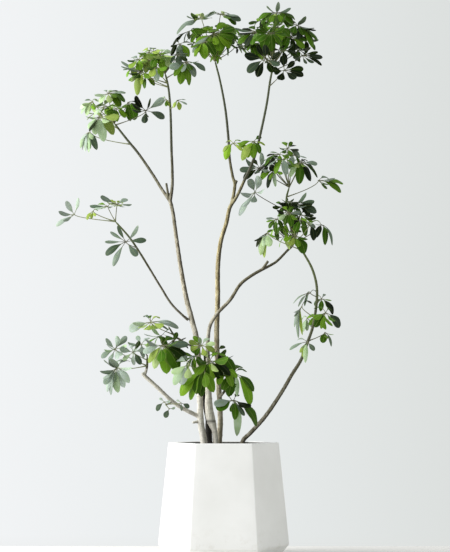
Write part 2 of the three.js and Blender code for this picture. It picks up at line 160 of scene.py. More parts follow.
# One leaflet: the share of its length that is stalk, its sideways bend, its twist, and how tones spread
LEAFLET_STALK = 0.15
STALK_SPREAD = (0.8, 1.15)
LEAFLET_BEND = (-0.05, 0.05)
LEAFLET_TWIST = 0.16
TONE_SPREAD = 0.016
# Its blade, which is cupped, has its edges rolled under and runs in waves along them
BLADE_STEPS = 12
BLADE_WIDTH = 0.205
WIDTH_SPREAD = (0.92, 1.1)
BLADE_FOOT = 1.0
BLADE_CUP = (-0.1, 0.22)
EDGE_ROLL = 0.16
BLADE_RIPPLE = (0.02, 0.075)
BLADE_WAVES = 11
WAVE_LAG = 1.9
WAVE_TWIST = 0.7
BLADE_THICKNESS = 0.28
# Its midrib below the blade
RIB_ROWS = np.array([0.12, 0.3, 0.5, 0.72, 0.88])
RIB_RADII = [1.15, 0.95, 0.55, 0.2]
RIB_DEPTH = 0.35
RIB_SINKS_BY = 0.25
RIB_SIDES = 6

# The rows of a blade, as shares of its length, its half width in each, and the columns across it
STEPS = np.arange(BLADE_STEPS + 1)
BLADE_ROWS = 0.35 * (0.5 - 0.5 * np.cos(np.pi * STEPS / BLADE_STEPS)) + 0.65 * STEPS / BLADE_STEPS
SWELL = np.clip(np.sin(np.pi * BLADE_ROWS**1.35), 0, 1)
BLADE_OUTLINE = np.where(BLADE_ROWS < 0.6, SWELL**0.9, SWELL**0.5)
BLADE_COLUMNS = np.linspace(-1, 1, 7)

# Which of a leafy piece's materials each part has
BLADE_SLOT, STALK_SLOT, SHOOT_SLOT = 0, 1, 2

# The woody nodes. Each stem is a route of points [x, y, z, radius]. "bark" is how many of its spans are bark
# before its green shoot begins, and "shoot" names the piece of that shoot and its leaves. A "rooted" stem
# goes on down into the soil. The flagged stump is dark all over: painted shade, a dark piece filling the gap
# between the trunks, and its flag also gives its piece the dark collar.
WOOD = {
    "trunk_left": [
        {"rooted": True, "route": [[-59, -15, 339, 10.5], [-67, -15, 384, 9.8], [-70, -12, 425, 9.3],
            [-71, -8, 464, 9], [-81, 2, 640, 8.2], [-95, 8, 698, 8], [-111, 16, 759, 7.6],
            [-121, 22, 808, 7], [-135, 32, 891, 6.4], [-145, 40, 959, 6], [-156, 50, 1037, 5.6],
            [-164, 56, 1068, 6]]},
        {"shoot": "spray_left_high", "bark": 3, "route": [[-164, 56, 1068, 5.5], [-186, 64, 1100, 4.8],
            [-221, 82, 1158, 4.4], [-264, 96, 1222, 4], [-302, 108, 1270, 3.6], [-342, 118, 1322, 3]]},
        {"shoot": "spray_left_top", "bark": 3, "route": [[-164, 56, 1068, 5.5], [-158, 52, 1108, 4.8],
            [-157, 44, 1153, 4.5], [-159, 20, 1220, 4], [-162, -15, 1346, 3.4], [-168, -32, 1407, 3.1],
            [-177, -42, 1444, 2.7]]},
        {"route": [[-168, 56, 1075, 4], [-176, 50, 1123, 3.4]]},
        {"route": [[-76, -12, 413, 6.5], [-118, -30, 434, 6], [-150, -44, 455, 6], [-197, -60, 499, 5.8],
            [-232, -70, 531, 5.6], [-240, -73, 540, 5]]},
        {"shoot": "spray_low_left", "bark": 1, "route": [[-233, -70, 533, 4.6], [-226, -74, 557, 3.6],
            [-225, -78, 590, 2.8]]},
        {"shoot": "spray_left_mid", "bark": 4, "route": [[-107, 8, 701, 4.5], [-124, -2, 715, 3.8],
            [-156, -16, 747, 3.5], [-188, -34, 797, 3.3], [-219, -54, 848, 3.2], [-248, -70, 895, 3.1],
            [-278, -84, 939, 2.9], [-320, -98, 986, 2.5]]},
        {"shoot": "spray_low_shoot", "bark": 2, "route": [[-79, 0, 616, 4], [-108, -18, 627, 3.2],
            [-133, -34, 642, 3], [-143, -42, 647, 2.8], [-164, -52, 678, 2.4]]},
        {"shoot": "sprout_low", "bark": 1, "route": [[-153, -45, 456, 3], [-164, -58, 449, 2.2],
            [-173, -66, 446, 1.6]]},
        {"route": [[-69, -14, 398, 5], [-92, -26, 394, 3.6]]},
    ],
    "trunk_centre": [
        {"rooted": True, "route": [[-13, 28, 338, 8.6], [-10, 26, 395, 8.2], [-14, 22, 488, 8],
            [-21, 14, 647, 7.8], [-18, 12, 761, 7.4], [-17, 10, 873, 7], [-8, 10, 942, 6.6],
            [8, 12, 995, 6.3], [18, 14, 1041, 6], [24, 14, 1053, 6]]},
        {"shoot": "spray_centre_top", "bark": 4, "route": [[24, 14, 1053, 5.5], [30, 20, 1082, 5],
            [34, 24, 1116, 5], [28, 28, 1138, 4.4], [18, 36, 1198, 4.1], [15, 42, 1252, 3.9],
            [5, 52, 1353, 3.5], [-12, 60, 1446, 3.1], [-27, 64, 1506, 2.7]]},
        {"shoot": "spray_right_top", "bark": 3, "route": [[24, 14, 1053, 5.5], [34, 8, 1066, 5],
            [48, 2, 1091, 4.7], [63, -4, 1124, 4.5], [79, -12, 1157, 4.3], [96, -22, 1201, 4],
            [112, -36, 1265, 3.7], [130, -52, 1351, 3.4], [140, -64, 1418, 3.1], [149, -70, 1463, 2.7]]},
        {"route": [[33, 24, 1112, 4.6], [40, 22, 1127, 4]]},
        {"shoot": "spray_low_right", "bark": 1, "route": [[-15, 22, 467, 4.5], [1, 2, 485, 3.9],
            [13, -18, 511, 3.3], [19, -30, 538, 2.8]]},
    ],
    "stem_middle": [
        {"rooted": True, "route": [[-24, -12, 339, 8.5], [-27, -13, 369, 8.5], [-38, -14, 402, 13.5],
            [-44, -16, 440, 11.8], [-45, -18, 479, 9.6], [-47, -20, 565, 7.2], [-47, -22, 639, 5.8],
            [-40, -24, 684, 5.6], [-20, -25, 717, 5.4], [19, -20, 759, 5.2], [51, -8, 808, 5],
            [82, 0, 833, 4.8], [113, 8, 852, 4.8]]},
        {"shoot": "spray_right_upper", "bark": 3, "route": [[113, 8, 852, 4.8], [140, 16, 866, 4.2],
            [160, 22, 879, 4], [191, 32, 911, 3.8], [212, 40, 936, 3.6], [203, 50, 1009, 3.3],
            [192, 58, 1073, 3], [201, 60, 1112, 2.6]]},
        {"route": [[116, 8, 853, 4.4], [134, -2, 878, 4]]},
        {"rooted": True, "stump_shade_and_collar": True, "route": [[-42, 6, 339, 8.5], [-45, 6, 368, 10], [-47, 4, 404, 8],
            [-54, 6, 432, 6.4], [-58, 8, 465, 6], [-59, 8, 503, 4.5]]},
        {"shoot": "spray_low_centre", "bark": 1, "route": [[-46, -19, 505, 4.5], [-49, -42, 535, 3.8],
            [-55, -60, 573, 3.2], [-58, -68, 608, 2.6]]},
    ],
    "stem_right": [
        {"rooted": True, "shoot": "spray_right_arch", "bark": 4, "route": [[57, -20, 339, 6.6],
            [78, -24, 362, 6.4], [120, -34, 408, 6.2], [170, -50, 481, 5.8], [202, -60, 536, 5.4],
            [228, -66, 578, 4.9], [249, -72, 634, 4.5], [263, -76, 675, 4.2], [274, -80, 743, 4],
            [276, -80, 782, 3.8], [272, -80, 814, 3.7], [261, -78, 850, 3.5], [244, -74, 883, 3.3],
            [227, -70, 910, 3], [210, -68, 925, 2.6]]},
    ],
}

# How tan, how green and how pale at its foot each woody piece's bark is, from 0 to 1
BARK_TINT = {
    "trunk_left": (0.15, 0.05, 0.95),
    "trunk_centre": (1.0, 0.0, 0.45),
    "stem_middle": (0.35, 0.1, 1.0),
    "stem_right": (0.0, 0.55, 0.0),
}
# Bark is darker where it faces this way, away from the window, as painted shade, and pales from the first
# of these heights down to the second
SHADY_SIDE = (0.9, -0.1, -0.3)
PALE_BELOW = (780, 430)
SHADY_UNEVENNESS = 0.25
# The height, width and tone of the dark collar above the peeled foot of the stem with the dark stump
COLLAR_HEIGHT = 398
COLLAR_WIDTH = 4.5
COLLAR_TONE = 0.7

# The tones of the leaves, as places on the leaf material's ramp. Besides the leaves' own greens they paint
# light:
# PEWTER, SLATE, MINT and SILVER are painted sheen, the window's reflection on the glossy leaves, PALE is
# painted window light on the leaves towards the left, and DARK is partly painted shade on the leaves that
# lie in shadow
PEWTER, SLATE, DARK, DEEP, MID, BRIGHT = 0, 0.07, 0.15, 0.28, 0.4, 0.52
OLIVE, LIME, PALE, MINT, SILVER = 0.59, 0.66, 0.76, 0.84, 0.97
LEAF_TONES = [
    (PEWTER, (134, 148, 138)),
    (SLATE, (78, 95, 79)),
    (DARK, (9, 21, 3)),
    (DEEP, (55, 91, 14)),
    (MID, (97, 136, 32)),
    (BRIGHT, (117, 158, 32)),
    (OLIVE, (112, 130, 62)),
    (LIME, (152, 174, 76)),
    (PALE, (168, 188, 124)),
    (MINT, (174, 196, 162)),
    (SILVER, (166, 178, 172)),
]

# The leaves of each shoot: the hub's x, y and z, the reach of its longest leaflet, how many degrees its
# axis leans, and towards which side, in degrees from +X towards +Y, its tone and its leaflets. A leaflet
# is given by where its tip lies from the hub, to the right and up, and its tone. BACK points it away from
# the viewer, and it is BROAD if no other width is given. A STAR is given by the number of its leaflets and
# how far they droop, as a share of their reach. The inner leaves are not in the solids. They fill the
# heads between those that are.
# Leaflets in PEWTER, SLATE, MINT and SILVER carry painted sheen, those in PALE painted window light, and
# those in DARK partly painted shade
BACK = "back"
STAR = "star"
THIN, SLIM, EVEN, BROAD, ROUND = 0.36, 0.62, 1, 1.18, 1.6
LEAVES = {
    "spray_left_high": [
        [-360, 95, 1410, 74, 35, 265, MID, [56, 2, PEWTER, SLIM], [40, -42, MID, ROUND],
         [54, -26, DEEP, ROUND], [10, -38, PALE], [-36, -16, MINT], [-16, 18, PEWTER, BACK, EVEN],
         [28, 15, PEWTER, BACK, EVEN], [6, 16, MINT, BACK, EVEN], [-20, -38, MINT, EVEN],
         [34, 8, MID, BACK, EVEN], [28, -20, MID]],
        [-405, 70, 1380, 58, 52, 250, PALE, [-36, -38, MINT, EVEN], [-20, -44, MINT], [8, -30, MID],
         [-30, -14, MINT], [-25, 11, SLATE, BACK], [12, 8, MINT, BACK, EVEN], [-10, -34, PALE, EVEN],
         [-38, -22, MINT]],
        [-380, 45, 1330, 94, 55, 262, PALE, [45, -57, OLIVE], [15, -80, MINT, EVEN], [-14, -64, MINT, EVEN],
         [-34, -44, MINT, EVEN], [60, -12, OLIVE], [53, 16, DEEP, BACK, EVEN], [18, 32, DEEP, BACK, EVEN],
         [-38, -12, MINT, EVEN], [30, -30, MINT, EVEN], [0, -66, SLATE, THIN], [-26, -56, DARK, SLIM]],
        [-415, 95, 1290, 69, 40, 250, MINT, [-16, -62, SILVER, SLIM], [-5, -66, MINT, SLIM],
         [4, -54, MINT, SLIM], [20, -58, SLATE, EVEN], [-24, -28, SILVER], [-28, -52, MINT, SLIM],
         [10, -30, MINT, EVEN], [-22, -58, SLATE, THIN], [-10, -60, SLATE, THIN]],
        [-300, 130, 1390, 67, 50, 270, DARK, [24, -56, DEEP, ROUND], [8, -60, DEEP], [40, -32, DEEP],
         [38, -4, DARK, BACK, EVEN], [-14, -26, MID, EVEN]],
        [-240, 60, 1350, 78, 62, 275, SLATE, [-30, 40, DARK], [17, 30, DARK, SLIM], [58, 38, PEWTER, EVEN],
         [58, -25, SLATE], [-5, -44, SLATE], [-42, 16, DARK, EVEN], [-40, -6, DARK], [8, -30, DARK, SLIM]],
        [-365, 175, 1385, 67, 30, 90, DEEP, [-40, -6, DEEP], [40, -14, MID], [20, -44, MID, EVEN],
         [-26, -34, PALE, EVEN], [0, -36, MID, EVEN], [14, 16, MINT, BACK, EVEN]],
        # Inner leaves
        [-370, 60, 1360, 60, 44, 265, PALE, [-38, 6, PALE, EVEN], [34, 8, DEEP, EVEN], [12, -30, MID, SLIM],
         [-26, -26, MINT, EVEN], [10, 28, PALE, BACK, EVEN], [-14, 30, MINT, BACK, EVEN]],
        [-335, 110, 1365, 56, 40, 280, BRIGHT, [STAR, 7, 0.6]],
        [-395, 100, 1350, 56, 30, 200, LIME, [-36, 4, MINT, EVEN], [-30, -24, PALE, EVEN],
         [-6, -34, MINT, EVEN], [20, -20, PALE, EVEN], [-16, 24, PALE, BACK, EVEN]],
    ],
    "spray_left_top": [
        [-245, -60, 1445, 78, 48, 255, LIME, [-30, -40, PALE, SLIM], [-14, -74, OLIVE, EVEN],
         [2, -46, LIME, SLIM], [-38, -36, MID, EVEN], [-42, -14, DARK, EVEN], [-64, 32, PEWTER, THIN],
         [-64, 18, PEWTER, THIN], [24, -30, MID], [-20, -30, DEEP], [-28, 14, MID, BACK],
         [-46, 6, PEWTER, SLIM]],
        [-240, -20, 1495, 52, 48, 255, LIME, [-14, -28, OLIVE, ROUND], [8, -36, BRIGHT, ROUND],
         [26, -22, LIME, ROUND], [-32, -6, MID, ROUND], [32, 2, MID, BACK, ROUND],
         [8, 16, LIME, BACK, ROUND], [-16, 14, PALE, BACK]],
        [-215, 0, 1520, 54, 44, 265, BRIGHT, [8, -40, DEEP, ROUND], [-20, -24, MID, ROUND],
         [26, -28, BRIGHT, ROUND], [-28, 4, MID, BACK], [28, 6, LIME, BACK, ROUND], [0, 16, LIME, BACK]],
        [-190, -55, 1500, 62, 46, 285, BRIGHT, [30, 14, MINT, BACK], [38, -14, PALE],
         [-12, -24, OLIVE, ROUND], [28, -40, PALE, ROUND], [14, -54, MID], [2, -34, MID, ROUND],
         [-18, 12, LIME, BACK], [8, 20, MINT, BACK]],
        [-200, -95, 1450, 54, 48, 265, LIME, [0, -44, PEWTER], [-16, -32, LIME, ROUND],
         [18, -32, MID, ROUND], [30, -12, MID, ROUND], [-28, -10, DEEP, ROUND]],
        [-110, -85, 1470, 85, 52, 272, SLATE, [-50, -29, PEWTER], [-22, -70, MID, EVEN],
         [-3, -56, SLATE, EVEN], [6, -74, MID, SLIM], [24, -50, PEWTER], [56, -28, SLATE],
         [-36, -50, MID, EVEN], [34, -8, SLATE], [-36, -6, SLATE], [12, -36, DEEP],
         [-12, -40, PEWTER, EVEN]],
        [-135, -15, 1540, 58, 40, 275, DEEP, [-24, -16, DARK], [-2, -50, PEWTER, EVEN], [14, -50, SLATE],
         [30, -40, MID], [33, 10, DARK, BACK], [-24, -38, DARK, EVEN], [-14, 14, DARK, BACK],
         [6, -26, SLATE]],
        [-175, -10, 1370, 40, 50, 255, LIME, [-10, 12, MINT, BACK, EVEN], [3, -25, DEEP, EVEN],
         [-14, -12, PEWTER, EVEN], [12, -24, LIME, EVEN]],
        [-140, -45, 1360, 43, 50, 285, LIME, [8, -30, LIME, ROUND], [30, -14, PEWTER, SLIM],
         [-12, -24, LIME], [26, 4, PEWTER, BACK, SLIM]],
        # Inner leaves
        [-272, -20, 1466, 50, 28, 200, BRIGHT, [-32, -10, DEEP], [-20, -32, MID, ROUND],
         [8, -38, LIME, ROUND], [28, -18, MID, ROUND], [-18, 14, PEWTER, BACK], [14, 16, PALE, BACK]],
        [-222, -60, 1480, 58, 34, 265, LIME, [-32, -14, MID, ROUND], [-14, -40, OLIVE, ROUND],
         [14, -42, MID, ROUND], [36, -18, LIME], [-22, 14, LIME, BACK, ROUND], [20, 18, PALE, BACK, ROUND]],
        [-175, -22, 1490, 52, 30, 300, MID, [-30, -16, MID, ROUND], [-6, -36, BRIGHT, ROUND],
         [20, -30, DEEP, ROUND], [34, -2, MID, ROUND], [4, 18, LIME, BACK, ROUND]],
        [-140, -40, 1500, 60, 34, 285, DARK, [-30, 4, DARK], [-24, -30, SLATE], [4, -40, SLATE],
         [28, -26, DARK], [30, 10, PEWTER, BACK], [0, 22, DARK, BACK, EVEN]],
        [-235, 0, 1440, 50, 30, 240, DEEP, [-28, -20, MID], [-4, -36, DEEP], [24, -26, MID, ROUND],
         [-26, 10, LIME, BACK], [16, 14, DEEP, BACK]],
        [-226, -30, 1512, 58, 44, 262, LIME, [-30, -12, MID, ROUND], [-8, -34, OLIVE, ROUND],
         [20, -28, MID, ROUND], [34, -4, LIME, ROUND], [-18, 14, LIME, BACK, ROUND],
         [14, 18, PEWTER, BACK, ROUND]],
        [-195, -70, 1488, 60, 46, 275, MID, [-34, -8, OLIVE, ROUND], [-20, -36, DEEP, ROUND],
         [12, -38, MID, ROUND], [36, -12, DEEP, ROUND], [-10, 18, LIME, BACK, ROUND],
         [24, 16, MID, BACK, ROUND]],
        [-256, -50, 1484, 58, 44, 245, BRIGHT, [-34, -6, DEEP, ROUND], [-24, -32, OLIVE, ROUND],
         [6, -38, MID, ROUND], [32, -18, LIME, ROUND], [-20, 16, PEWTER, BACK, ROUND],
         [16, 16, LIME, BACK, ROUND]],
    ],
    "spray_centre_top": [
        [-70, 70, 1645, 103, 44, 250, LIME, [-28, -2, DEEP, EVEN], [34, 0, DEEP, EVEN], [-14, -20, LIME],
         [8, -20, LIME], [-52, -34, PEWTER], [-76, -54, PEWTER, SLIM], [4, 12, PALE, BACK, EVEN],
         [-40, -8, PEWTER, EVEN], [30, -20, MID], [-20, 14, PALE, BACK, EVEN]],
        [-10, 90, 1660, 76, 42, 285, MID, [-57, -16, PEWTER, SLIM], [-50, -2, SLATE, BACK, SLIM],
         [64, -20, SLATE], [48, -34, DEEP], [-20, 0, SLATE, EVEN], [34, 4, PEWTER, BACK], [30, -22, MID],
         [6, 14, PALE, BACK, EVEN], [56, -4, PEWTER, EVEN]],
        [-30, 15, 1580, 78, 66, 270, BRIGHT, [32, 42, MID, BACK], [-18, 30, MID, BACK],
         [-40, 20, MID, BACK], [-66, 10, DEEP], [-68, -58, PEWTER, SLIM], [-54, -40, MID],
         [-36, -62, MID, ROUND], [-4, -66, MID], [24, -56, MID, ROUND], [52, -42, BRIGHT], [62, -14, DEEP],
         [64, 18, DEEP], [8, -44, BRIGHT]],
        [-25, 40, 1520, 40, 25, 300, BRIGHT, [-6, -20, LIME, EVEN], [17, -20, LIME, EVEN], [-16, -24, MID],
         [26, 2, LIME, EVEN], [6, -30, MID]],
        [35, 62, 1550, 47, 25, 20, DARK, [25, -16, DARK], [5, -26, DARK], [-22, -6, MID, EVEN],
         [16, 10, PEWTER, BACK, EVEN], [38, -6, DARK, EVEN]],
        [-85, 110, 1575, 49, 30, 160, DEEP, [8, -32, DARK], [-13, -24, DARK, EVEN], [-30, -6, DEEP, EVEN],
         [20, -14, DARK], [-14, 12, DEEP, BACK, EVEN]],
        [-5, 130, 1615, 65, 35, 80, DEEP, [STAR, 8, 0.4]],
        [-100, 35, 1595, 58, 30, 200, BRIGHT, [-44, -34, SLATE], [-5, -34, DARK, EVEN],
         [-22, -40, PEWTER, EVEN], [-42, -16, DARK], [20, -26, DEEP, EVEN], [8, -6, DARK, EVEN],
         [-58, -46, DARK]],
        [25, 45, 1610, 52, 35, 330, MID, [STAR, 7, 0.5]],
        # Inner leaves
        [-55, 0, 1550, 66, 38, 235, BRIGHT, [-46, -18, MID], [-34, -46, BRIGHT], [-2, -54, MID, ROUND],
         [30, -44, DEEP], [44, -12, MID], [-28, 20, DEEP, BACK], [16, 26, MID, BACK]],
        [-5, 60, 1570, 66, 35, 330, BRIGHT, [-40, -20, MID], [-14, -50, MID, ROUND], [18, -50, DEEP],
         [46, -26, MID], [44, 8, DARK], [-22, 22, DEEP, BACK]],
        [-75, 60, 1605, 66, 30, 215, MID, [STAR, 7, 0.6]],
        [0, 30, 1590, 70, 36, 290, MID, [-46, -8, MID], [-24, -44, BRIGHT], [14, -48, MID, ROUND],
         [46, -26, DEEP], [40, 12, DEEP, BACK], [-20, 24, MID, BACK]],
        [-50, 90, 1580, 72, 30, 180, DEEP, [STAR, 7, 0.7]],
        [30, 90, 1580, 66, 30, 350, DEEP, [STAR, 7, 0.6]],
    ],
    "spray_right_top": [
        [160, -60, 1625, 74, 38, 270, BRIGHT, [2, 21, PEWTER, EVEN], [-30, 12, SLATE, EVEN],
         [42, 9, SLATE, EVEN], [-56, -21, DEEP, EVEN], [-48, -34, DEEP], [-34, -46, DEEP], [-18, -40, MID],
         [-2, -44, DEEP, ROUND], [16, -40, MID], [34, -46, DEEP], [48, -34, DEEP], [56, -21, DEEP, EVEN],
         [-10, -22, LIME, SLIM]],
        [220, -50, 1590, 85, 44, 300, DEEP, [26, 13, SLATE], [50, -18, SLATE], [64, -50, DEEP, EVEN],
         [48, -70, DEEP, EVEN], [20, -40, DEEP], [8, -52, DARK], [34, -50, DARK], [-16, -36, DEEP],
         [-24, 12, DARK, BACK], [58, -24, DARK, SLIM], [-36, 2, DEEP], [-32, -14, DEEP]],
        [100, -70, 1565, 81, 44, 245, BRIGHT, [-68, 10, SLATE, SLIM], [-57, -38, DEEP], [-34, -50, DARK],
         [-3, -34, DEEP], [-56, -8, DARK], [-20, 26, DEEP, BACK], [-14, -50, DEEP], [14, 22, DARK, BACK],
         [28, -10, MID], [-44, 14, DARK, BACK]],
        [140, -148, 1540, 67, 48, 268, MID, [-24, -48, DEEP, ROUND], [4, -56, DEEP], [32, -42, DEEP],
         [-42, -28, DEEP, ROUND], [46, -10, DEEP], [-46, 6, DEEP], [12, 26, MID], [-24, 32, DEEP],
         [-36, 18, DEEP], [40, 20, DEEP]],
        [245, -15, 1555, 58, 42, 300, DARK, [-40, 8, DARK], [44, -4, DARK], [34, -34, DEEP], [6, -46, DARK],
         [-28, -34, DARK], [12, 20, DEEP, BACK]],
        [125, -125, 1470, 83, 70, 262, SLATE, [-64, 6, DARK], [-54, -44, DARK, EVEN],
         [-28, -56, DARK, EVEN], [22, -50, DARK], [-26, 34, DARK, EVEN], [-6, 30, DARK], [40, -27, SLATE],
         [42, 4, DARK], [2, -26, DARK, EVEN]],
        [180, -120, 1435, 65, 74, 272, SLATE, [-5, 44, DARK], [28, 25, DARK], [57, 5, DARK, EVEN],
         [58, -14, DARK, EVEN], [34, -30, DARK], [-16, -34, DARK, ROUND], [-34, -5, DARK, ROUND]],
        [235, -80, 1490, 74, 56, 285, DARK, [62, -6, DARK, EVEN], [60, -30, DARK, SLIM],
         [34, -30, DARK, SLIM], [48, 14, DARK, BACK, SLIM], [12, -36, SLATE, SLIM], [-26, -22, DARK],
         [-30, 10, DARK, BACK]],
        [175, -95, 1500, 49, 40, 270, DARK, [54, -34, DARK], [32, 21, DARK, BACK], [44, -8, DARK],
         [-38, 9, DARK, BACK], [-28, -24, DARK], [10, -42, DARK], [4, 24, DARK, BACK]],
        [185, -5, 1585, 69, 30, 90, DEEP, [-46, -4, DARK], [-34, -34, DEEP], [0, -44, MID], [32, -34, DEEP],
         [48, -8, DARK], [-20, 26, DEEP, BACK], [16, 30, MID, BACK]],
        [30, -40, 1230, 58, 44, 255, LIME, [-26, -50, BRIGHT], [-33, -26, OLIVE, EVEN], [41, -14, BRIGHT],
         [19, 13, MID, BACK, EVEN], [-20, 10, LIME, BACK, EVEN], [26, -26, LIME, EVEN]],
        [90, -45, 1235, 58, 46, 275, LIME, [-35, -59, OLIVE], [-20, -50, BRIGHT, EVEN], [-2, -52, MID],
         [20, -38, DEEP], [25, 19, DEEP, BACK, EVEN], [35, -12, LIME, SLIM], [-44, -12, MID],
         [-16, -22, BRIGHT]],
        [115, -25, 1610, 56, 25, 150, MID, [-40, -8, DEEP], [-24, -34, MID], [8, -40, DEEP],
         [34, -18, DEEP], [14, -22, DEEP], [26, -8, DEEP], [-12, 18, MID, BACK], [20, 16, DEEP, BACK]],
        # Inner leaves
        [115, -40, 1540, 76, 38, 245, DEEP, [-50, -20, DEEP, ROUND], [-34, -50, DARK], [0, -56, MID, ROUND],
         [36, -44, DEEP, ROUND], [52, -8, DARK], [-36, 18, MID, BACK], [20, 26, DEEP, BACK]],
        [200, -60, 1550, 76, 38, 290, DEEP, [-50, -14, MID, ROUND], [-26, -48, DEEP, ROUND], [8, -56, DARK],
         [40, -40, MID], [56, -6, DEEP], [-24, 26, DEEP, BACK], [28, 28, DEEP, BACK]],
        [70, -20, 1565, 62, 30, 200, MID, [-34, -10, DEEP], [-14, -36, DARK], [16, -34, DEEP],
         [36, -6, DARK], [-24, 14, DEEP, BACK], [8, 18, DEEP, BACK]],
        [155, -100, 1570, 72, 42, 270, BRIGHT, [-48, -20, MID, ROUND], [-22, -46, DEEP, ROUND],
         [12, -48, MID, ROUND], [44, -28, DEEP, ROUND], [-30, 18, DEEP], [26, 24, DEEP], [0, 24, DEEP]],
        [225, -20, 1520, 62, 30, 330, DARK, [-32, -14, DARK], [-6, -38, DEEP], [24, -28, DARK],
         [36, 2, DARK], [-20, 16, DARK, BACK], [14, 20, DEEP, BACK]],
        [132, 20, 1562, 62, 30, 180, DARK, [-40, -8, DARK], [-16, -40, DARK], [18, -38, DARK],
         [40, -4, DARK], [-24, 18, DARK, BACK], [16, 22, DARK, BACK]],
        [192, 10, 1560, 62, 30, 20, DARK, [-40, -8, DEEP], [-16, -40, DARK], [18, -38, DEEP],
         [40, -4, DARK], [-24, 18, DEEP, BACK], [16, 22, DARK, BACK]],
        [85, -50, 1530, 66, 34, 220, MID, [-36, -8, DARK], [-12, -26, DEEP], [18, -44, DEEP],
         [36, -20, MID], [10, 22, DEEP, BACK], [-24, 18, DARK, BACK]],
        [62, -10, 1535, 66, 34, 230, DEEP, [-40, -4, DARK], [-20, 14, DARK, BACK], [34, -12, DEEP],
         [20, 14, DEEP, BACK], [10, -16, DARK]],
        [160, -20, 1590, 70, 30, 270, MID, [-42, -10, DEEP, ROUND], [-22, -40, MID, ROUND],
         [12, -44, MID, ROUND], [42, -14, DEEP, ROUND], [-24, 20, MID, BACK], [20, 22, DEEP, BACK]],
    ],
    "spray_right_upper": [
        [110, 20, 1165, 73, 60, 255, SLATE, [-62, -6, SLATE], [-44, 22, PEWTER], [4, 42, PEWTER, EVEN],
         [-16, -22, SLATE], [-49, -36, DARK, EVEN], [24, -16, PEWTER, EVEN], [34, 18, DARK],
         [-22, 30, DARK, BACK, EVEN]],
        [140, 60, 1200, 49, 40, 250, DEEP, [-28, -12, DARK, EVEN], [-8, -36, DEEP, EVEN],
         [22, -24, MID, EVEN], [30, 8, MID, BACK, EVEN]],
        [170, 10, 1205, 56, 30, 265, MID, [-46, -36, DEEP], [-40, -6, DARK, EVEN], [-24, -28, DARK, EVEN],
         [0, -36, MID, EVEN], [26, -18, MID], [-28, 12, DEEP, BACK, EVEN], [12, 12, MID, BACK, EVEN]],
        [195, 50, 1230, 54, 46, 275, BRIGHT, [-16, -20, DEEP], [11, -30, MID], [34, -10, DARK],
         [38, -30, PEWTER, EVEN], [-26, -2, DEEP], [-10, 26, MID, BACK, ROUND], [16, 24, DEEP, BACK],
         [30, 12, DARK, BACK]],
        [240, 90, 1195, 58, 40, 285, MID, [20, 8, DARK, BACK, EVEN], [50, -8, PEWTER],
         [-22, 8, PEWTER, BACK, EVEN], [-26, -22, MID], [34, -24, DARK], [4, -36, MID]],
        [230, 15, 1180, 81, 38, 275, MID, [2, -67, DEEP], [-28, -46, MINT, EVEN], [33, -58, DARK],
         [56, -46, DARK, SLIM], [17, -20, BRIGHT, EVEN], [-42, -20, MID, EVEN], [22, 4, DARK, BACK, EVEN],
         [-14, -22, LIME, EVEN]],
        [290, 45, 1130, 85, 42, 275, MID, [34, 12, PEWTER, BACK, EVEN], [76, -10, MID, EVEN],
         [70, -36, MID, EVEN], [50, 4, PEWTER, SLIM], [30, -20, DEEP, SLIM], [22, -34, DEEP, SLIM]],
        [155, 0, 1155, 67, 40, 250, DEEP, [-44, -30, MID], [-23, -56, DARK], [2, -52, MINT, SLIM],
         [-38, -6, PEWTER], [20, -20, MID, EVEN], [-16, -34, MID, EVEN], [10, 10, DEEP, BACK, EVEN]],
        [95, 15, 1090, 90, 74, 262, PEWTER, [-16, 34, PEWTER], [12, 42, SILVER], [28, 2, SILVER, EVEN],
         [-50, -72, SILVER, SLIM], [-42, -14, SILVER], [-8, -38, PEWTER], [-34, -50, SILVER, SLIM]],
        # Inner leaves
        [180, -20, 1185, 58, 38, 262, DEEP, [-50, -24, PEWTER], [-24, -46, MID], [8, -50, PEWTER],
         [34, -26, MID], [-34, 8, PEWTER], [18, 20, DEEP, BACK]],
        [212, 30, 1205, 56, 30, 290, MID, [-34, -18, MID], [-10, -44, PEWTER], [22, -38, DEEP],
         [42, -8, PEWTER], [10, 20, MID, BACK, EVEN], [-22, 12, DEEP, BACK, EVEN]],
        [140, 30, 1180, 60, 32, 230, DARK, [STAR, 7, 0.5]],
    ],
    "spray_right_arch": [
        [215, -60, 1045, 78, 56, 285, DARK, [30, 29, SLATE], [56, 8, SLATE, EVEN], [48, -8, DARK],
         [26, -14, PEWTER], [62, -28, SLATE], [42, -40, DARK, EVEN], [-14, -24, DEEP], [-28, 6, DEEP],
         [10, -40, DEEP]],
        [180, -45, 1040, 52, 48, 250, DEEP, [-34, -8, DARK], [-10, -38, DEEP], [22, -30, DARK],
         [40, -4, DEEP], [8, 20, DEEP], [-22, 14, DEEP, BACK], [30, 18, DARK]],
        [190, -115, 1010, 56, 50, 270, DARK, [-27, -24, MINT], [10, -42, DEEP], [26, -24, MID],
         [38, -2, PEWTER, EVEN], [-10, -38, DEEP], [-34, 4, DARK], [16, 22, DEEP, BACK],
         [-14, 22, MID, BACK]],
        [160, -85, 995, 52, 44, 240, MID, [-33, 6, PEWTER, BACK, EVEN], [-26, -28, DEEP], [-6, -44, DEEP],
         [16, -30, DEEP], [-34, -8, MID, EVEN], [26, -2, DARK], [10, 18, DEEP, BACK]],
        [290, -70, 980, 83, 34, 300, DEEP, [-19, -42, DARK], [10, -62, DEEP, EVEN], [32, -63, SLATE, SLIM],
         [-26, 12, MID, BACK, SLIM], [-20, -4, DEEP, SLIM], [20, -30, DEEP, SLIM]],
        [250, -150, 970, 52, 45, 280, MID, [14, -47, DARK], [-26, -12, DEEP, EVEN],
         [-22, 22, MID, BACK, EVEN], [8, 4, MINT, BACK, SLIM]],
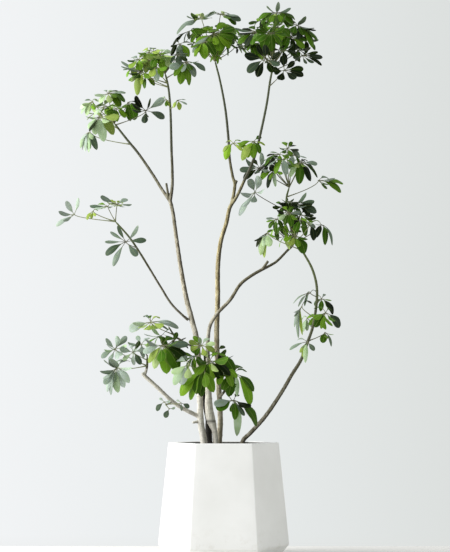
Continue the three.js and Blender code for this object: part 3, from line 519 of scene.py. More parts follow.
        [210, -105, 945, 69, 50, 280, MID, [28, -56, DEEP, ROUND], [-14, -36, LIME], [-34, -20, MID],
         [8, -40, MID], [-30, 10, MID, BACK], [20, 16, DEEP, BACK], [-6, 26, LIME, BACK], [36, -16, DEEP]],
        [130, -80, 955, 85, 46, 250, MINT, [-20, -68, MINT, EVEN], [-8, -76, LIME, SLIM], [6, -46, MINT],
         [-40, -30, DARK, SLIM], [-12, -44, MINT], [-32, -44, DARK, SLIM], [20, -20, MID, EVEN],
         [-22, -18, PEWTER, SLIM]],
        [160, -30, 970, 47, 30, 120, DARK, [-18, -22, BRIGHT], [3, -34, DEEP], [-30, -8, MID, EVEN],
         [22, -26, DARK], [18, 4, MID, BACK, EVEN]],
        [255, -95, 775, 56, 44, 260, MID, [-43, -22, PEWTER, THIN], [-34, -43, PEWTER, THIN],
         [-8, -12, PEWTER, BACK, EVEN], [-17, -40, SLATE, SLIM], [20, 4, SLATE, BACK, SLIM],
         [-50, -34, PEWTER, THIN]],
        [228, -125, 732, 99, 42, 250, LIME, [-23, -32, PEWTER, THIN], [-20, -62, PEWTER, THIN],
         [-11, -94, PEWTER, THIN], [-2, -84, LIME, THIN], [31, 13, DARK, BACK, SLIM],
         [-16, -50, PEWTER, THIN], [-30, -20, PEWTER, SLIM]],
        [250, -40, 705, 56, 50, 255, MINT, [-14, -42, MINT, EVEN], [-2, -40, MINT, EVEN],
         [-16, -6, MINT, BACK], [12, -32, SILVER, SLIM]],
        [298, -120, 715, 90, 46, 285, BRIGHT, [-34, -44, DEEP], [-16, -50, MID, SLIM], [40, -45, DARK],
         [24, -28, DEEP, EVEN], [-38, -20, MID, EVEN], [-30, 14, DEEP, BACK, EVEN],
         [16, 10, DEEP, BACK, EVEN]],
        [290, -60, 760, 47, 44, 285, MID, [14, 15, PEWTER, BACK, EVEN], [30, -6, MID, SLIM],
         [33, -48, DARK, EVEN], [-22, -20, DEEP], [-4, -38, DEEP], [-14, 8, MID, BACK, EVEN],
         [24, -30, MID]],
        [245, -110, 630, 67, 42, 258, PALE, [-29, 5, PEWTER, BACK, SLIM], [-52, -25, PEWTER, SLIM],
         [-25, -33, OLIVE, SLIM], [-13, -46, LIME, SLIM], [-4, -62, MINT, SLIM], [17, -28, SLATE, EVEN],
         [-20, -20, PEWTER, THIN]],
        [300, -60, 660, 49, 46, 285, DEEP, [-10, -32, DEEP, ROUND], [20, -42, SLATE, SLIM],
         [24, -8, MID, SLIM], [4, -20, MID]],
        [230, -30, 1015, 63, 44, 285, DARK, [36, -26, MID], [-14, -30, DARK], [22, 18, DARK, BACK],
         [12, -38, DEEP], [-34, -4, DEEP], [40, -4, DARK], [-12, 22, DEEP, BACK]],
        # Inner leaves
        [230, -90, 992, 66, 40, 275, DARK, [-40, -14, DARK], [-20, -46, DEEP], [14, -50, DEEP],
         [40, -28, PEWTER], [44, 8, DARK], [-30, 18, DEEP, BACK]],
        [185, -62, 985, 60, 36, 235, DARK, [-44, 4, MID], [-30, -34, DEEP], [4, -46, MID], [34, -24, DARK],
         [-14, 28, DEEP], [24, 22, DARK]],
        [280, -60, 706, 52, 38, 275, MID, [STAR, 7, 0.6]],
        [190, -40, 950, 56, 30, 200, DEEP, [-40, -4, DEEP, EVEN], [-24, -36, MID], [8, -42, PALE, EVEN],
         [30, -20, MID], [-22, 26, DEEP, BACK, EVEN], [14, 26, DARK]],
        [195, -70, 1050, 56, 46, 262, DEEP, [-32, -12, DARK, ROUND], [-18, -32, DARK, ROUND],
         [2, -37, DEEP, ROUND], [20, -28, DARK, ROUND], [28, -10, DARK], [-24, 2, DEEP], [6, -18, DARK]],
    ],
    "spray_left_mid": [
        [-440, -115, 1005, 74, 72, 262, SILVER, [14, 46, SILVER, SLIM], [-22, 34, SILVER, EVEN],
         [-43, 3, SILVER, EVEN], [-53, -36, SILVER, SLIM], [-28, -24, SILVER, SLIM]],
        [-385, -110, 1015, 38, 50, 255, LIME, [-18, -26, LIME], [-3, -24, LIME, EVEN], [8, -18, LIME, EVEN],
         [12, 4, MID, BACK, EVEN]],
        [-345, -70, 1035, 63, 32, 250, MID, [-54, 2, SLATE], [-34, -12, SILVER, EVEN],
         [-17, -10, PALE, EVEN], [-30, 12, MID, BACK, EVEN], [20, 10, DEEP, BACK, EVEN],
         [16, -8, SLATE, EVEN]],
        [-315, -105, 1035, 60, 36, 285, MID, [-48, 27, PEWTER, BACK], [-30, 6, PALE, EVEN],
         [28, 22, PEWTER, BACK], [44, 0, SLATE, EVEN], [26, -10, SILVER, EVEN], [-20, 12, LIME, BACK],
         [2, 16, LIME, BACK], [-12, -6, LIME], [14, 8, LIME, BACK], [-30, 16, LIME, BACK, EVEN],
         [6, -8, MID], [18, -4, LIME, EVEN]],
        [-285, -150, 920, 83, 66, 268, SLATE, [-24, 45, SLATE, SLIM], [-46, 30, PEWTER, SLIM],
         [-61, 0, PEWTER, SLIM], [-58, -41, SLATE, EVEN], [-36, -73, PEWTER, SLIM], [36, -45, SLATE, EVEN],
         [60, 6, SLATE, EVEN], [39, 43, PEWTER, SLIM]],
    ],
    "spray_low_left": [
        [-265, -95, 600, 56, 64, 262, MINT, [17, 34, DARK], [36, 8, PEWTER], [24, -36, SLATE],
         [2, -38, SILVER], [-40, 12, PEWTER], [-30, -24, MINT], [-10, 24, SILVER, BACK, EVEN]],
        [-320, -75, 610, 63, 62, 255, MINT, [33, 39, PEWTER, EVEN], [8, 38, SILVER], [-24, 14, SILVER],
         [-42, -24, PEWTER], [36, 10, MINT, EVEN], [-28, 30, SILVER, EVEN], [12, -30, SILVER],
         [-30, -4, MINT], [-14, -34, PEWTER, EVEN], [22, 24, SLATE, BACK, EVEN], [24, -18, PEWTER, EVEN]],
        [-310, -115, 555, 90, 52, 250, MINT, [-36, -50, PEWTER, EVEN], [-18, -82, SILVER, SLIM],
         [0, -74, MINT, EVEN], [38, -44, SILVER, EVEN], [44, -4, SILVER, EVEN], [-16, 25, PEWTER, ROUND],
         [-34, 20, PEWTER, EVEN], [-30, -72, SILVER, SLIM], [20, -60, SILVER, EVEN],
         [-46, -14, PEWTER, EVEN], [10, 20, SILVER, BACK, EVEN], [-8, -46, SLATE, SLIM],
         [34, 18, PEWTER, BACK, EVEN], [-40, -34, SILVER, SLIM]],
        [-245, -35, 625, 56, 40, 250, PEWTER, [-40, 6, PEWTER], [-24, -32, SILVER], [8, -40, PEWTER],
         [36, -16, MINT], [22, 22, SILVER, BACK], [-14, 28, PEWTER, BACK]],
    ],
    "spray_low_shoot": [
        [-215, -70, 690, 87, 46, 265, LIME, [-64, -26, SILVER], [-52, -6, MINT],
         [-24, 18, SLATE, BACK, SLIM], [-10, -26, LIME], [38, -14, OLIVE], [82, -20, PEWTER, SLIM],
         [66, -2, SILVER, SLIM], [14, -24, OLIVE], [22, 14, LIME, BACK, EVEN], [-34, -20, PALE],
         [52, -26, SLATE, THIN], [-8, 16, DEEP, BACK, EVEN]],
        [-180, -115, 620, 99, 48, 275, BRIGHT, [-10, 26, DEEP, BACK], [30, 24, DEEP, BACK],
         [-46, 14, SILVER], [-36, -54, OLIVE, EVEN], [16, -84, MID], [46, -74, DEEP, ROUND],
         [72, -48, DARK], [78, 2, SLATE, EVEN], [-54, -24, SILVER], [0, -50, DEEP], [54, 16, DEEP, EVEN],
         [-22, -70, PALE, EVEN], [30, -60, MID]],
        [-150, -75, 635, 63, 25, 320, MID, [-30, 20, SILVER, BACK], [40, 8, DARK], [46, -24, DARK],
         [24, -50, DARK], [-8, -56, DEEP], [14, 26, DEEP, BACK]],
        # Inner leaves
        [-185, -60, 650, 60, 30, 200, MID, [-52, 6, SILVER], [-44, -28, MID], [-18, -50, MID],
         [20, -46, DEEP], [-30, 30, MINT, BACK], [24, 26, PEWTER, BACK, EVEN]],
    ],
    "spray_low_centre": [
        [-65, -72, 620, 54, 62, 262, LIME, [-38, 14, OLIVE], [-34, -10, LIME], [-8, 24, MINT],
         [40, -16, OLIVE], [20, 24, MINT, BACK], [10, -30, LIME], [-18, -30, DEEP], [40, 8, PALE],
         [-24, 30, MID, BACK, EVEN]],
        [-40, -105, 575, 90, 48, 268, BRIGHT, [-36, 4, DEEP], [-42, -42, MID], [2, -64, BRIGHT],
         [-18, -68, DEEP], [34, -58, DARK], [60, -44, DARK], [54, 6, DEEP], [24, 26, MID, BACK],
         [-28, 24, PALE, BACK], [20, -34, PALE, EVEN]],
        [-100, -155, 565, 90, 50, 255, MINT, [-42, -64, MINT], [-22, -62, SILVER], [18, 20, PEWTER, BACK],
         [-48, -30, MINT], [-40, 10, SILVER, BACK], [-18, 24, SLATE, BACK, EVEN], [-4, -44, PALE, EVEN]],
        [-20, -80, 605, 58, 55, 290, DEEP, [26, -16, DEEP], [36, -50, DEEP], [14, -58, DARK],
         [50, -66, DEEP], [24, 14, DARK, BACK], [34, -84, DARK, SLIM]],
        # Inner leaves
        [-57, -130, 547, 102, 44, 250, BRIGHT, [-70, -74, BRIGHT], [-40, -88, MID], [-8, -78, DEEP],
         [-58, -46, MID], [26, -66, MID], [10, -50, MID], [-24, -70, DEEP]],
        [-20, -50, 580, 70, 30, 330, DEEP, [26, 30, DEEP], [50, 12, DARK], [56, -16, DEEP], [36, -46, DARK],
         [8, -56, DEEP], [-14, 30, DEEP, BACK], [54, -60, DARK, SLIM]],
        [-80, -80, 590, 70, 34, 215, MID, [-44, 14, MID], [-50, -16, MID], [-30, -44, DEEP], [-4, -50, MID],
         [-16, 32, MID, BACK], [20, -34, DEEP]],
    ],
    "spray_low_right": [
        [30, -60, 540, 101, 42, 285, MID, [-20, 30, MID, BACK], [18, 18, DEEP, BACK], [-18, -70, DEEP],
         [-36, -50, DEEP], [10, -70, MINT, SLIM], [48, -96, MID, EVEN], [58, -56, DEEP, EVEN],
         [-50, -8, MID], [34, 6, DEEP, BACK]],
        [0, -85, 555, 65, 45, 270, MID, [STAR, 8, 0.5]],
        [30, -75, 460, 98, 38, 285, MID, [46, -22, DARK, ROUND], [68, -76, DEEP], [8, -106, MINT, SLIM],
         [3, -58, DEEP, EVEN], [-10, -34, DEEP, SLIM], [-57, -16, PEWTER, ROUND], [-48, -30, DEEP, ROUND],
         [28, -46, SLATE, SLIM], [10, 12, DARK, BACK, EVEN]],
    ],
    "sprout_low": [
        [-175, -72, 455, 29, 60, 262, MINT, [-23, -26, SLATE, ROUND], [19, 2, PEWTER],
         [-14, 12, SILVER, BACK]],
        [-160, -66, 435, 29, 62, 275, MINT, [-12, -27, SLATE, ROUND], [18, 4, PEWTER]],
        # Inner leaves
        [-126, -60, 452, 28, 60, 275, MINT, [25, -14, SLATE, ROUND], [2, -24, PEWTER, EVEN],
         [-14, 8, SILVER, BACK, EVEN]],
    ],
}


def unit(v):
    return v / np.linalg.norm(v)


def each_unit(rows):
    return rows / np.linalg.norm(rows, axis=1)[:, None]


def between(a, b, start, end, at):
    return a + (b - a) * (at - start) / (end - start)


def bow(start, knee, end, t):
    """The point at share t of the curve that leaves start towards knee and comes from there to end."""
    return start * (1 - t) ** 2 + knee * 2 * t * (1 - t) + end * t * t


def polar(radius, angle, z=0.0):
    return np.array([radius * math.cos(angle), radius * math.sin(angle), z])


def lengths_along(line):
    return np.concatenate([[0], np.cumsum(np.linalg.norm(np.diff(line, axis=0), axis=1))])


def nearest(centres, point):
    return int(np.argmin(np.linalg.norm(centres - np.array(point[:3], float), axis=1)))


def smooth_route(route, pitch):
    """Points and radii along the centripetal Catmull-Rom curve through a route, about pitch apart."""
    rows = np.array(route, float)
    ends = np.vstack([2 * rows[0] - rows[1], rows, 2 * rows[-1] - rows[-2]])
    made = []
    for i in range(1, len(ends) - 2):
        four = ends[i - 1 : i + 3]
        spans = [np.linalg.norm(b[:3] - a[:3]) for a, b in zip(four, four[1:])]
        knots = np.cumsum([0, *(math.sqrt(max(span, 1e-6)) for span in spans)])
        steps = max(2, round(spans[1] / pitch))
        for t in np.linspace(knots[1], knots[2], steps, endpoint=False):
            three = [between(four[k], four[k + 1], knots[k], knots[k + 1], t) for k in range(3)]
            two = [between(three[k], three[k + 1], knots[k], knots[k + 2], t) for k in range(2)]
            made.append(between(*two, knots[1], knots[2], t))
    made = np.array([*made, rows[-1]])
    return made[:, :3], made[:, 3]


def frames(centres):
    """The tangent and two side directions at each point of a line, turning as little as they can."""
    along = each_unit(np.gradient(centres, axis=0))
    side = np.array([1.0, 0.0, 0.0])
    sides = []
    for tangent in along:
        side = side - tangent * side.dot(tangent)
        if np.linalg.norm(side) < 1e-3:
            side = np.cross(tangent, [0.0, 1.0, 0.0])
        side = unit(side)
        sides.append(side)
    sides = np.array(sides)
    return along, sides, np.cross(along, sides)


def place_in_scene(name, data):
    obj = bpy.data.objects.new(name, data)
    bpy.context.scene.collection.objects.link(obj)
    return obj


def store(mesh, name, domain, rows):
    """Keeps three numbers for each point or face of a mesh, for a material to read."""
    held = mesh.attributes.new(name, "FLOAT_VECTOR", domain)
    held.data.foreach_set("vector", np.asarray(rows, np.float32).ravel())


class Builder:
    """Gathers closed shells into one mesh, with what the materials read about each point and face."""

    def __init__(self):
        self.points, self.faces, self.place, self.tint, self.slots, self.rim = [], [], [], [], [], []
        self.count = 0

    def add(self, points, faces, place=(0, 0, 0), tint=(0, 0, 0), slot=0, rim=False):
        """Adds a shell. Its place and rim are given for each point and its tint for each face, or once."""
        self.points.append(points)
        self.faces += [[corner + self.count for corner in face] for face in faces]
        self.place.append(np.broadcast_to(place, (len(points), 3)))
        self.tint.append(np.broadcast_to(tint, (len(faces), 3)))
        self.slots += [slot] * len(faces)
        self.rim.append(np.broadcast_to(rim, len(points)))
        self.count += len(points)

    def make(self, name, materials):
        mesh = bpy.data.meshes.new(name)
        mesh.from_pydata((np.concatenate(self.points) * MM).tolist(), [], self.faces)
        store(mesh, "place", "POINT", np.concatenate(self.place))
        store(mesh, "tint", "FACE", np.concatenate(self.tint))
        for material in materials:
            mesh.materials.append(material)
        mesh.polygons.foreach_set("material_index", self.slots)
        mesh.polygons.foreach_set("use_smooth", [True] * len(self.faces))
        ends = np.zeros(len(mesh.edges) * 2, np.int32)
        mesh.edges.foreach_get("vertices", ends)
        sharp = np.concatenate(self.rim)[ends].reshape(-1, 2).all(axis=1)
        crease = mesh.attributes.new("sharp_edge", "BOOLEAN", "EDGE")
        crease.data.foreach_set("value", sharp)
        mesh.update()
        return place_in_scene(name, mesh)


def ring_faces(rows, count):
    """Quads between rows of points, each row a closed ring, and a cap at either end."""
    faces = []
    last = (rows - 1) * count
    for near in range(0, last, count):
        for i in range(count):
            j = (i + 1) % count
            faces.append([near + i, near + j, near + count + j, near + count + i])
    return faces + [list(reversed(range(count))), list(range(last, last + count))]


def tube(builder, centres, radii, sides, tint=(0, 0, 0), slot=0):
    """A closed tube along a line, with the share of its length as the first number of its place."""
    _, side, other = frames(centres)
    angles = TURN * np.arange(sides) / sides
    around = side[:, None] * np.cos(angles)[None, :, None] + other[:, None] * np.sin(angles)[None, :, None]
    points = centres[:, None] + around * np.asarray(radii)[:, None, None]
    run = lengths_along(centres)
    place = np.zeros((len(centres), sides, 3))
    place[:, :, 0] = (run / run[-1])[:, None]
    builder.add(points.reshape(-1, 3), ring_faces(len(centres), sides), place.reshape(-1, 3), tint, slot)


def blade_grid():
    """The faces of a blade, above and below by turns with the foot's last, and the points of its edge.

    The points are the rows of the upper side, the inner ones of the lower side's rows, and the tip.
    """
    rows, columns = BLADE_STEPS, len(BLADE_COLUMNS)
    inner = columns - 2
    tip = rows * (columns + inner)

    def above(row, column):
        return row * columns + column

    def below(row, column):
        if column in (0, columns - 1):
            return above(row, column)
        return rows * columns + row * inner + column - 1

    faces = []
    for column in range(columns - 1):
        for row in range(rows - 1):
            square = [(row, column), (row + 1, column), (row + 1, column + 1), (row, column + 1)]
            faces.append([above(*corner) for corner in reversed(square)])
            faces.append([below(*corner) for corner in square])
        faces.append([above(rows - 1, column + 1), tip, above(rows - 1, column)])
        faces.append([below(rows - 1, column), tip, below(rows - 1, column + 1)])
    faces.append([above(0, c) for c in range(columns)] + [below(0, c) for c in range(inner, 0, -1)])
    edge = [above(row, column) for row in range(rows) for column in (0, columns - 1)]
    return faces, edge + [tip]


BLADE_FACES, BLADE_EDGE = blade_grid()


def leaflet(builder, hub, rise, tip, axis, width_scale, tone, draw):
    """One leaflet: a thin stalk that runs on as the midrib below a closed, cupped, obovate blade.

    It leaves the hub towards rise and bends over to tip. Both are measured from the hub.
    """
    across = unit(np.cross(axis, tip))
    bend = draw.uniform(*LEAFLET_BEND) * np.linalg.norm(tip)
    base = LEAFLET_STALK * draw.uniform(*STALK_SPREAD)
    turn = draw.gauss(0, LEAFLET_TWIST)
    cup = draw.uniform(*BLADE_CUP)
    ripple = draw.uniform(*BLADE_RIPPLE)
    phase = draw.uniform(*ANY_TURN)
    half = BLADE_WIDTH * width_scale * draw.uniform(*WIDTH_SPREAD)
    shade = draw.random()

    def spine(share):
        s = share[:, None]
        return hub + rise * 2 * s * (1 - s) + tip * s * s + across * (bend * share * share)[:, None]

    share = base + (1 - base) * BLADE_ROWS
    centre = spine(share)
    tangent = each_unit(spine(share + 0.01) - spine(share - 0.01))
    flat = each_unit(across - tangent * (tangent @ across)[:, None])
    lift = np.cross(tangent, flat)
    width = flat * math.cos(turn) + lift * math.sin(turn)
    normal = lift * math.cos(turn) - flat * math.sin(turn)

    widths = half * BLADE_OUTLINE
    widths[0] = BLADE_FOOT
    fold = np.abs(BLADE_COLUMNS)
    wave = BLADE_ROWS * BLADE_WAVES + phase
    height = np.outer(widths, cup * fold - EDGE_ROLL * fold**2.2)
    height += np.outer(widths * np.sin(wave) * ripple, fold**2)
    height += np.outer(widths * np.sin(wave + WAVE_LAG) * ripple * WAVE_TWIST, BLADE_COLUMNS * fold)
    thick = BLADE_THICKNESS * (1 - fold**3)

    def whole(upper, lower, last):
        return np.concatenate([upper.reshape(-1, 3), lower[:, 1:-1].reshape(-1, 3), last])

    grid = centre[:-1, None] + width[:-1, None] * np.outer(widths, BLADE_COLUMNS)[:-1, :, None]
    top = grid + normal[:-1, None] * (height[:-1] + thick)[:, :, None]
    under = grid + normal[:-1, None] * (height[:-1] - thick)[:, :, None]
    spots = np.broadcast_arrays(BLADE_ROWS[:-1, None], BLADE_COLUMNS[None], widths[:-1, None])
    spots = np.stack(spots, axis=-1)
    points = whole(top, under, centre[-1:])
    place = whole(spots, spots, [[1.0, 0.0, widths[-2]]])
    tints = [[tone, shade, 0.0], [tone, shade, 1.0]] * (len(BLADE_FACES) // 2) + [[tone, shade, 1.0]]
    builder.add(points, BLADE_FACES, place, tints, BLADE_SLOT, np.isin(np.arange(len(points)), BLADE_EDGE))

    rib = np.concatenate([np.linspace(0, base, 4), base + (1 - base) * RIB_ROWS])
    sunk = np.clip((rib - base) / (RIB_SINKS_BY * (1 - base)), 0, 1)
    normals = np.stack([np.interp(rib, share, normal[:, k]) for k in range(3)], axis=1)
    line = spine(rib) - normals * (RIB_DEPTH * sunk)[:, None]
    radii = np.interp(rib, [0, base, 0.5, 0.92], RIB_RADII)
    tube(builder, line, radii, RIB_SIDES, [tone, shade, 0.5], STALK_SLOT)


def leaf_axis(row):
    """A leaf's hub, the level direction that it leans towards, and its axis."""
    x, y, z, _, lean, toward = row[:6]
    away = polar(1, math.radians(toward))
    axis = away * math.sin(math.radians(lean)) + UP * math.cos(math.radians(lean))
    return np.array([x, y, z], float), away, axis


def fan(leaflets, reach, axis, draw):
    """The first rise, tip, width and tone of each leaflet that a leaf's row lists."""
    made = []
    for right, up, tone, *looks in leaflets:
        flat = math.hypot(right, up)
        full = max(flat, reach * draw.uniform(*FAN_REACH))
        depth = math.sqrt(full * full - flat * flat)
        tip = np.array([right, depth if BACK in looks else -depth, up], float)
        level = tip - axis * tip.dot(axis)
        rise = level * FAN_SPREAD + axis * full * FAN_LIFT
        width = next((look for look in looks if look != BACK), BROAD)
        made.append((rise, tip, FAN_WIDTH * (flat + full) / 2 * width, tone))
    return made


def star(count, droop, tone, reach, away, axis, outward, draw):
    """The first rise, tip, width and tone of leaflets all round a leaf, shorter towards its shoot."""
    across = np.array([-away[1], away[0], 0])
    downhill = np.cross(across, axis)
    start = draw.random()
    made = []
    for i in range(count):
        angle = TURN * (i + start + draw.uniform(*STAR_JITTER)) / count
        out = downhill * math.cos(angle) + across * math.sin(angle)
        inner = INNER_LEAFLET + (1 - INNER_LEAFLET) * out.dot(outward)
        full = reach * inner * draw.uniform(*STAR_REACH)
        sag = droop * draw.uniform(*STAR_SAG)
        flat = full / math.sqrt(1 + SAG_SHORTENING * sag * sag)
        begin = out * flat + axis * full * STAR_LIFT
        made.append((begin * 0.5, begin - UP * sag * full, full, tone))
    return made


def leaf(builder, row, foot, draw):
    """A leaf: the knot at its hub and its leaflets, a fan or a star."""
    reach, _, _, tone, *leaflets = row[3:]
    hub, away, axis = leaf_axis(row)
    knob = HUB_RADIUS + reach * HUB_GROWTH
    heights, widths = np.array(HUB_PROFILE).T
    line = hub + axis * (heights * knob)[:, None]
    tube(builder, line, widths * knob, STALK_SIDES, [tone, 0.5, 0.5], STALK_SLOT)
    if leaflets[0][0] == STAR:
        made = star(*leaflets[0][1:], tone, reach, away, axis, unit(hub - foot), draw)
    else:
        made = fan(leaflets, reach, axis, draw)
    for rise, tip, width, own in made:
        shade = min(1, max(0, own + draw.gauss(0, TONE_SPREAD)))
        leaflet(builder, hub, rise, tip, axis, width, shade, draw)


def petiole(builder, centres, row, climb):
    """A leaf's stalk, which rises at about the slope climb and comes up into the hub along its axis."""
    hub, _, axis = leaf_axis(row)
    late = centres[len(centres) // 4 :]
    flat = np.hypot(hub[0] - late[:, 0], hub[1] - late[:, 1])
    foot = late[int(np.argmin(np.abs(hub[2] - late[:, 2] - climb * flat)))]
    knee = hub - axis * np.linalg.norm(hub - foot) * PETIOLE_ARCH
    t = np.linspace(0, 1, PETIOLE_STEPS)
    line = bow(foot, knee, hub, t[:, None])
    tube(builder, line, np.interp(t, *PETIOLE_RADII), STALK_SIDES, [row[6], 0.5, 0.5], STALK_SLOT)
    return foot


def spray(name, stem, seed, materials):
    """A stem's green part with its ring scars and its bud, and all its leaves on their stalks."""
    draw = random.Random(seed)
    builder = Builder()
    centres, radii = smooth_route(stem["route"], SHOOT_PITCH)
    cut = max(nearest(centres, stem["route"][stem["bark"]]) - 1, 0)
    centres, radii = centres[cut:], radii[cut:]
    run = lengths_along(centres)
    for scar in np.cumsum([draw.uniform(*RING_GAP) for _ in range(RING_COUNT)]):
        radii += RING_HEIGHT * np.exp(-(((run - scar) / RING_WIDTH) ** 2))
    radii[-len(BUD) :] *= BUD
    tube(builder, centres, radii, SHOOT_SIDES, slot=SHOOT_SLOT)
    for row in LEAVES[name]:
        foot = petiole(builder, centres, row, PETIOLE_RISE.get(name, USUAL_RISE))
        leaf(builder, row, foot, draw)
    return builder.make(name + "_leaves", materials)


class Nodes:
    """Short names for the few kinds of node that the materials and the surround use."""

    def __init__(self, tree):
        self.tree = tree

    def put(self, value, socket):
        if hasattr(value, "is_output"):
            self.tree.links.new(value, socket)
        else:
            socket.default_value = value

    def node(self, kind, values, **settings):
        """A node with some of its inputs set, to a number or to another node's output."""
        made = self.tree.nodes.new("ShaderNode" + kind)
        for name, setting in settings.items():
            setattr(made, name, setting)
        for key, value in values.items():
            self.put(value, made.inputs[key])
        return made

    def split(self, vector):
        return self.node("SeparateXYZ", {0: vector}).outputs

    def attribute(self, name):
        return self.split(self.node("Attribute", {}, attribute_name=name).outputs["Vector"])

    def position(self):
        return self.node("TexCoord", {}).outputs["Object"]

    def height(self):
        return self.split(self.position())[2]

    def stretched(self, vector, scale):
        return self.node("Mapping", {"Vector": vector, "Scale": scale}).outputs[0]

    def noise(self, vector, scale, detail=3, roughness=0.55):
        values = {"Vector": vector, "Scale": scale, "Detail": detail, "Roughness": roughness}
        return self.node("TexNoise", values).outputs["Fac"]

    def cells(self, vector, scale):
        return self.node("TexVoronoi", {"Vector": vector, "Scale": scale}).outputs["Distance"]

    def math(self, operation, *values):
        return self.node("Math", dict(enumerate(values)), operation=operation).outputs[0]

    def times(self, a, b):
        return self.math("MULTIPLY", a, b)

    def plus(self, a, b):
        return self.math("ADD", a, b)

    def off(self, a, b):
        return self.math("ABSOLUTE", self.math("SUBTRACT", a, b))

    def range(self, value, low, high, to_low, to_high):
        return self.node("MapRange", dict(enumerate((value, low, high, to_low, to_high)))).outputs[0]

    def ramp(self, value, stops):
        made = self.node("ValToRGB", {0: value})
        elements = made.color_ramp.elements
        while len(elements) < len(stops):
            elements.new(1.0)
        for element, (at, colour) in zip(elements, stops):
            element.position = at
            element.color = linear(colour) if len(colour) == 3 else colour
        return made.outputs[0]

    def mix(self, factor, a, b, blend="MIX"):
        a, b = (linear(colour) if isinstance(colour, tuple) else colour for colour in (a, b))
        return self.node("Mix", {0: factor, 6: a, 7: b}, data_type="RGBA", blend_type=blend).outputs[2]

    def bump(self, height, strength, distance):
        return self.node("Bump", {"Height": height, "Strength": strength, "Distance": distance}).outputs[0]


class Shader(Nodes):
    """A material and its nodes."""

    def __init__(self, name):
        self.material = bpy.data.materials.new(name)
        self.material.use_nodes = True
        super().__init__(self.material.node_tree)
        self.tree.nodes.clear()
        self.bsdf = self.node("BsdfPrincipled", {})
        self.node("OutputMaterial", {"Surface": self.bsdf.outputs[0]})

    def dimmed(self, base, dim):
        """The stems grow darker where they climb into the shade of the heads."""
        return self.mix(self.range(self.height(), *HEAD_SHADE, 0, 0.5), base, dim)

    def finish(self, base, roughness, bump, specular=0.5):
        values = {"Base Color": base, "Roughness": roughness, "Normal": bump, "Specular IOR Level": specular}
        for name, value in values.items():
            self.put(value, self.bsdf.inputs[name])
        return self.material


def linear(colour):
    """A colour given from 0 to 255 as on a screen, in the renderer's linear light."""
    return tuple(((c / 255 + 0.055) / 1.055) ** 2.4 if c > 10 else c / 255 / 12.92 for c in colour) + (1.0,)


def leaf_material():
    s = Shader("leaf_blade")
    along, lateral, halfwidth = s.attribute("place")
    tone, shade, under = s.attribute("tint")
    position = s.position()
    base = s.ramp(tone, LEAF_TONES)
    # Undersides are paler: partly their own paler colour, partly painted light for light shining through the
    # leaf
    lighter = s.mix(0.13, base, (178, 192, 150))
    base = s.mix(s.times(under, 0.8), base, lighter)
    base = s.mix(s.range(s.noise(position, 55, 2), 0.35, 0.7, 0, 0.3), base, (128, 154, 78), "OVERLAY")
    base = s.mix(1.0, base, s.range(shade, 0, 1, 0.72, 1.3), "MULTIPLY")
    reach = s.math("ABSOLUTE", lateral)
    midrib = s.range(s.times(reach, halfwidth), 0.25, 0.9, 1, 0)
    slant = s.math("SUBTRACT", s.times(along, 11.0), s.times(reach, 2.4))
    veins = s.range(s.off(s.math("FRACT", slant), 0.5), 0, 0.09, 1, 0)
    # The darkest leaves show their midribs and edges least
    pale = s.mix(s.range(s.off(tone, DARK), 0, DEEP - DARK, 0.1, 0.3), base, (196, 206, 120))
    base = s.mix(s.times(midrib, 0.75), base, pale)
    base = s.mix(s.times(veins, 0.14), base, pale)
    base = s.mix(s.range(reach, 0.84, 1, 0, 0.6), base, pale)
    base = s.mix(s.range(along, 0, 0.14, 0.5, 0), base, (176, 188, 110))
    roughness = s.range(s.noise(position, 120), 0.3, 0.7, 0.36, 0.5)
    sunk = s.times(s.plus(midrib, s.times(veins, 0.5)), -1.0)
    height = s.plus(sunk, s.times(s.noise(position, 900, 2), 0.35))
    return s.finish(base, roughness, s.bump(height, 0.5, 0.0004), 0.05)


def stalk_material():
    s = Shader("leaf_stalk")
    tone, _, _ = s.attribute("tint")
    position = s.position()
    tones = [(0, (96, 96, 76)), (0.5, (112, 118, 70)), (0.75, (146, 154, 96)), (1, (158, 166, 136))]
    base = s.ramp(tone, tones)
    base = s.mix(s.range(s.noise(position, 70), 0.35, 0.7, 0, 0.5), base, (84, 78, 60))
    fibres = s.noise(s.stretched(position, (1, 1, 0.3)), 700, 2)
    return s.finish(base, 0.5, s.bump(fibres, 0.3, 0.0003))


def shoot_material():
    s = Shader("green_stem")
    share, _, _ = s.attribute("place")
    position = s.position()
    base = s.ramp(share, [(0, (68, 64, 40)), (0.35, (66, 70, 36)), (0.8, (80, 92, 42)), (1, (104, 122, 56))])
    streaks = s.noise(s.stretched(position, (1, 1, 0.25)), 260, 4, 0.65)
    base = s.mix(s.range(streaks, 0.4, 0.7, 0, 0.55), base, (62, 60, 40))
    dots = s.range(s.cells(s.stretched(position, (1, 1, 0.5)), 420), 0, 0.28, 1, 0)
    base = s.mix(s.times(dots, 0.45), base, (172, 164, 126))
    base = s.dimmed(base, (34, 42, 20))
    return s.finish(base, 0.55, s.bump(s.plus(streaks, s.times(dots, 0.6)), 0.5, 0.0006))


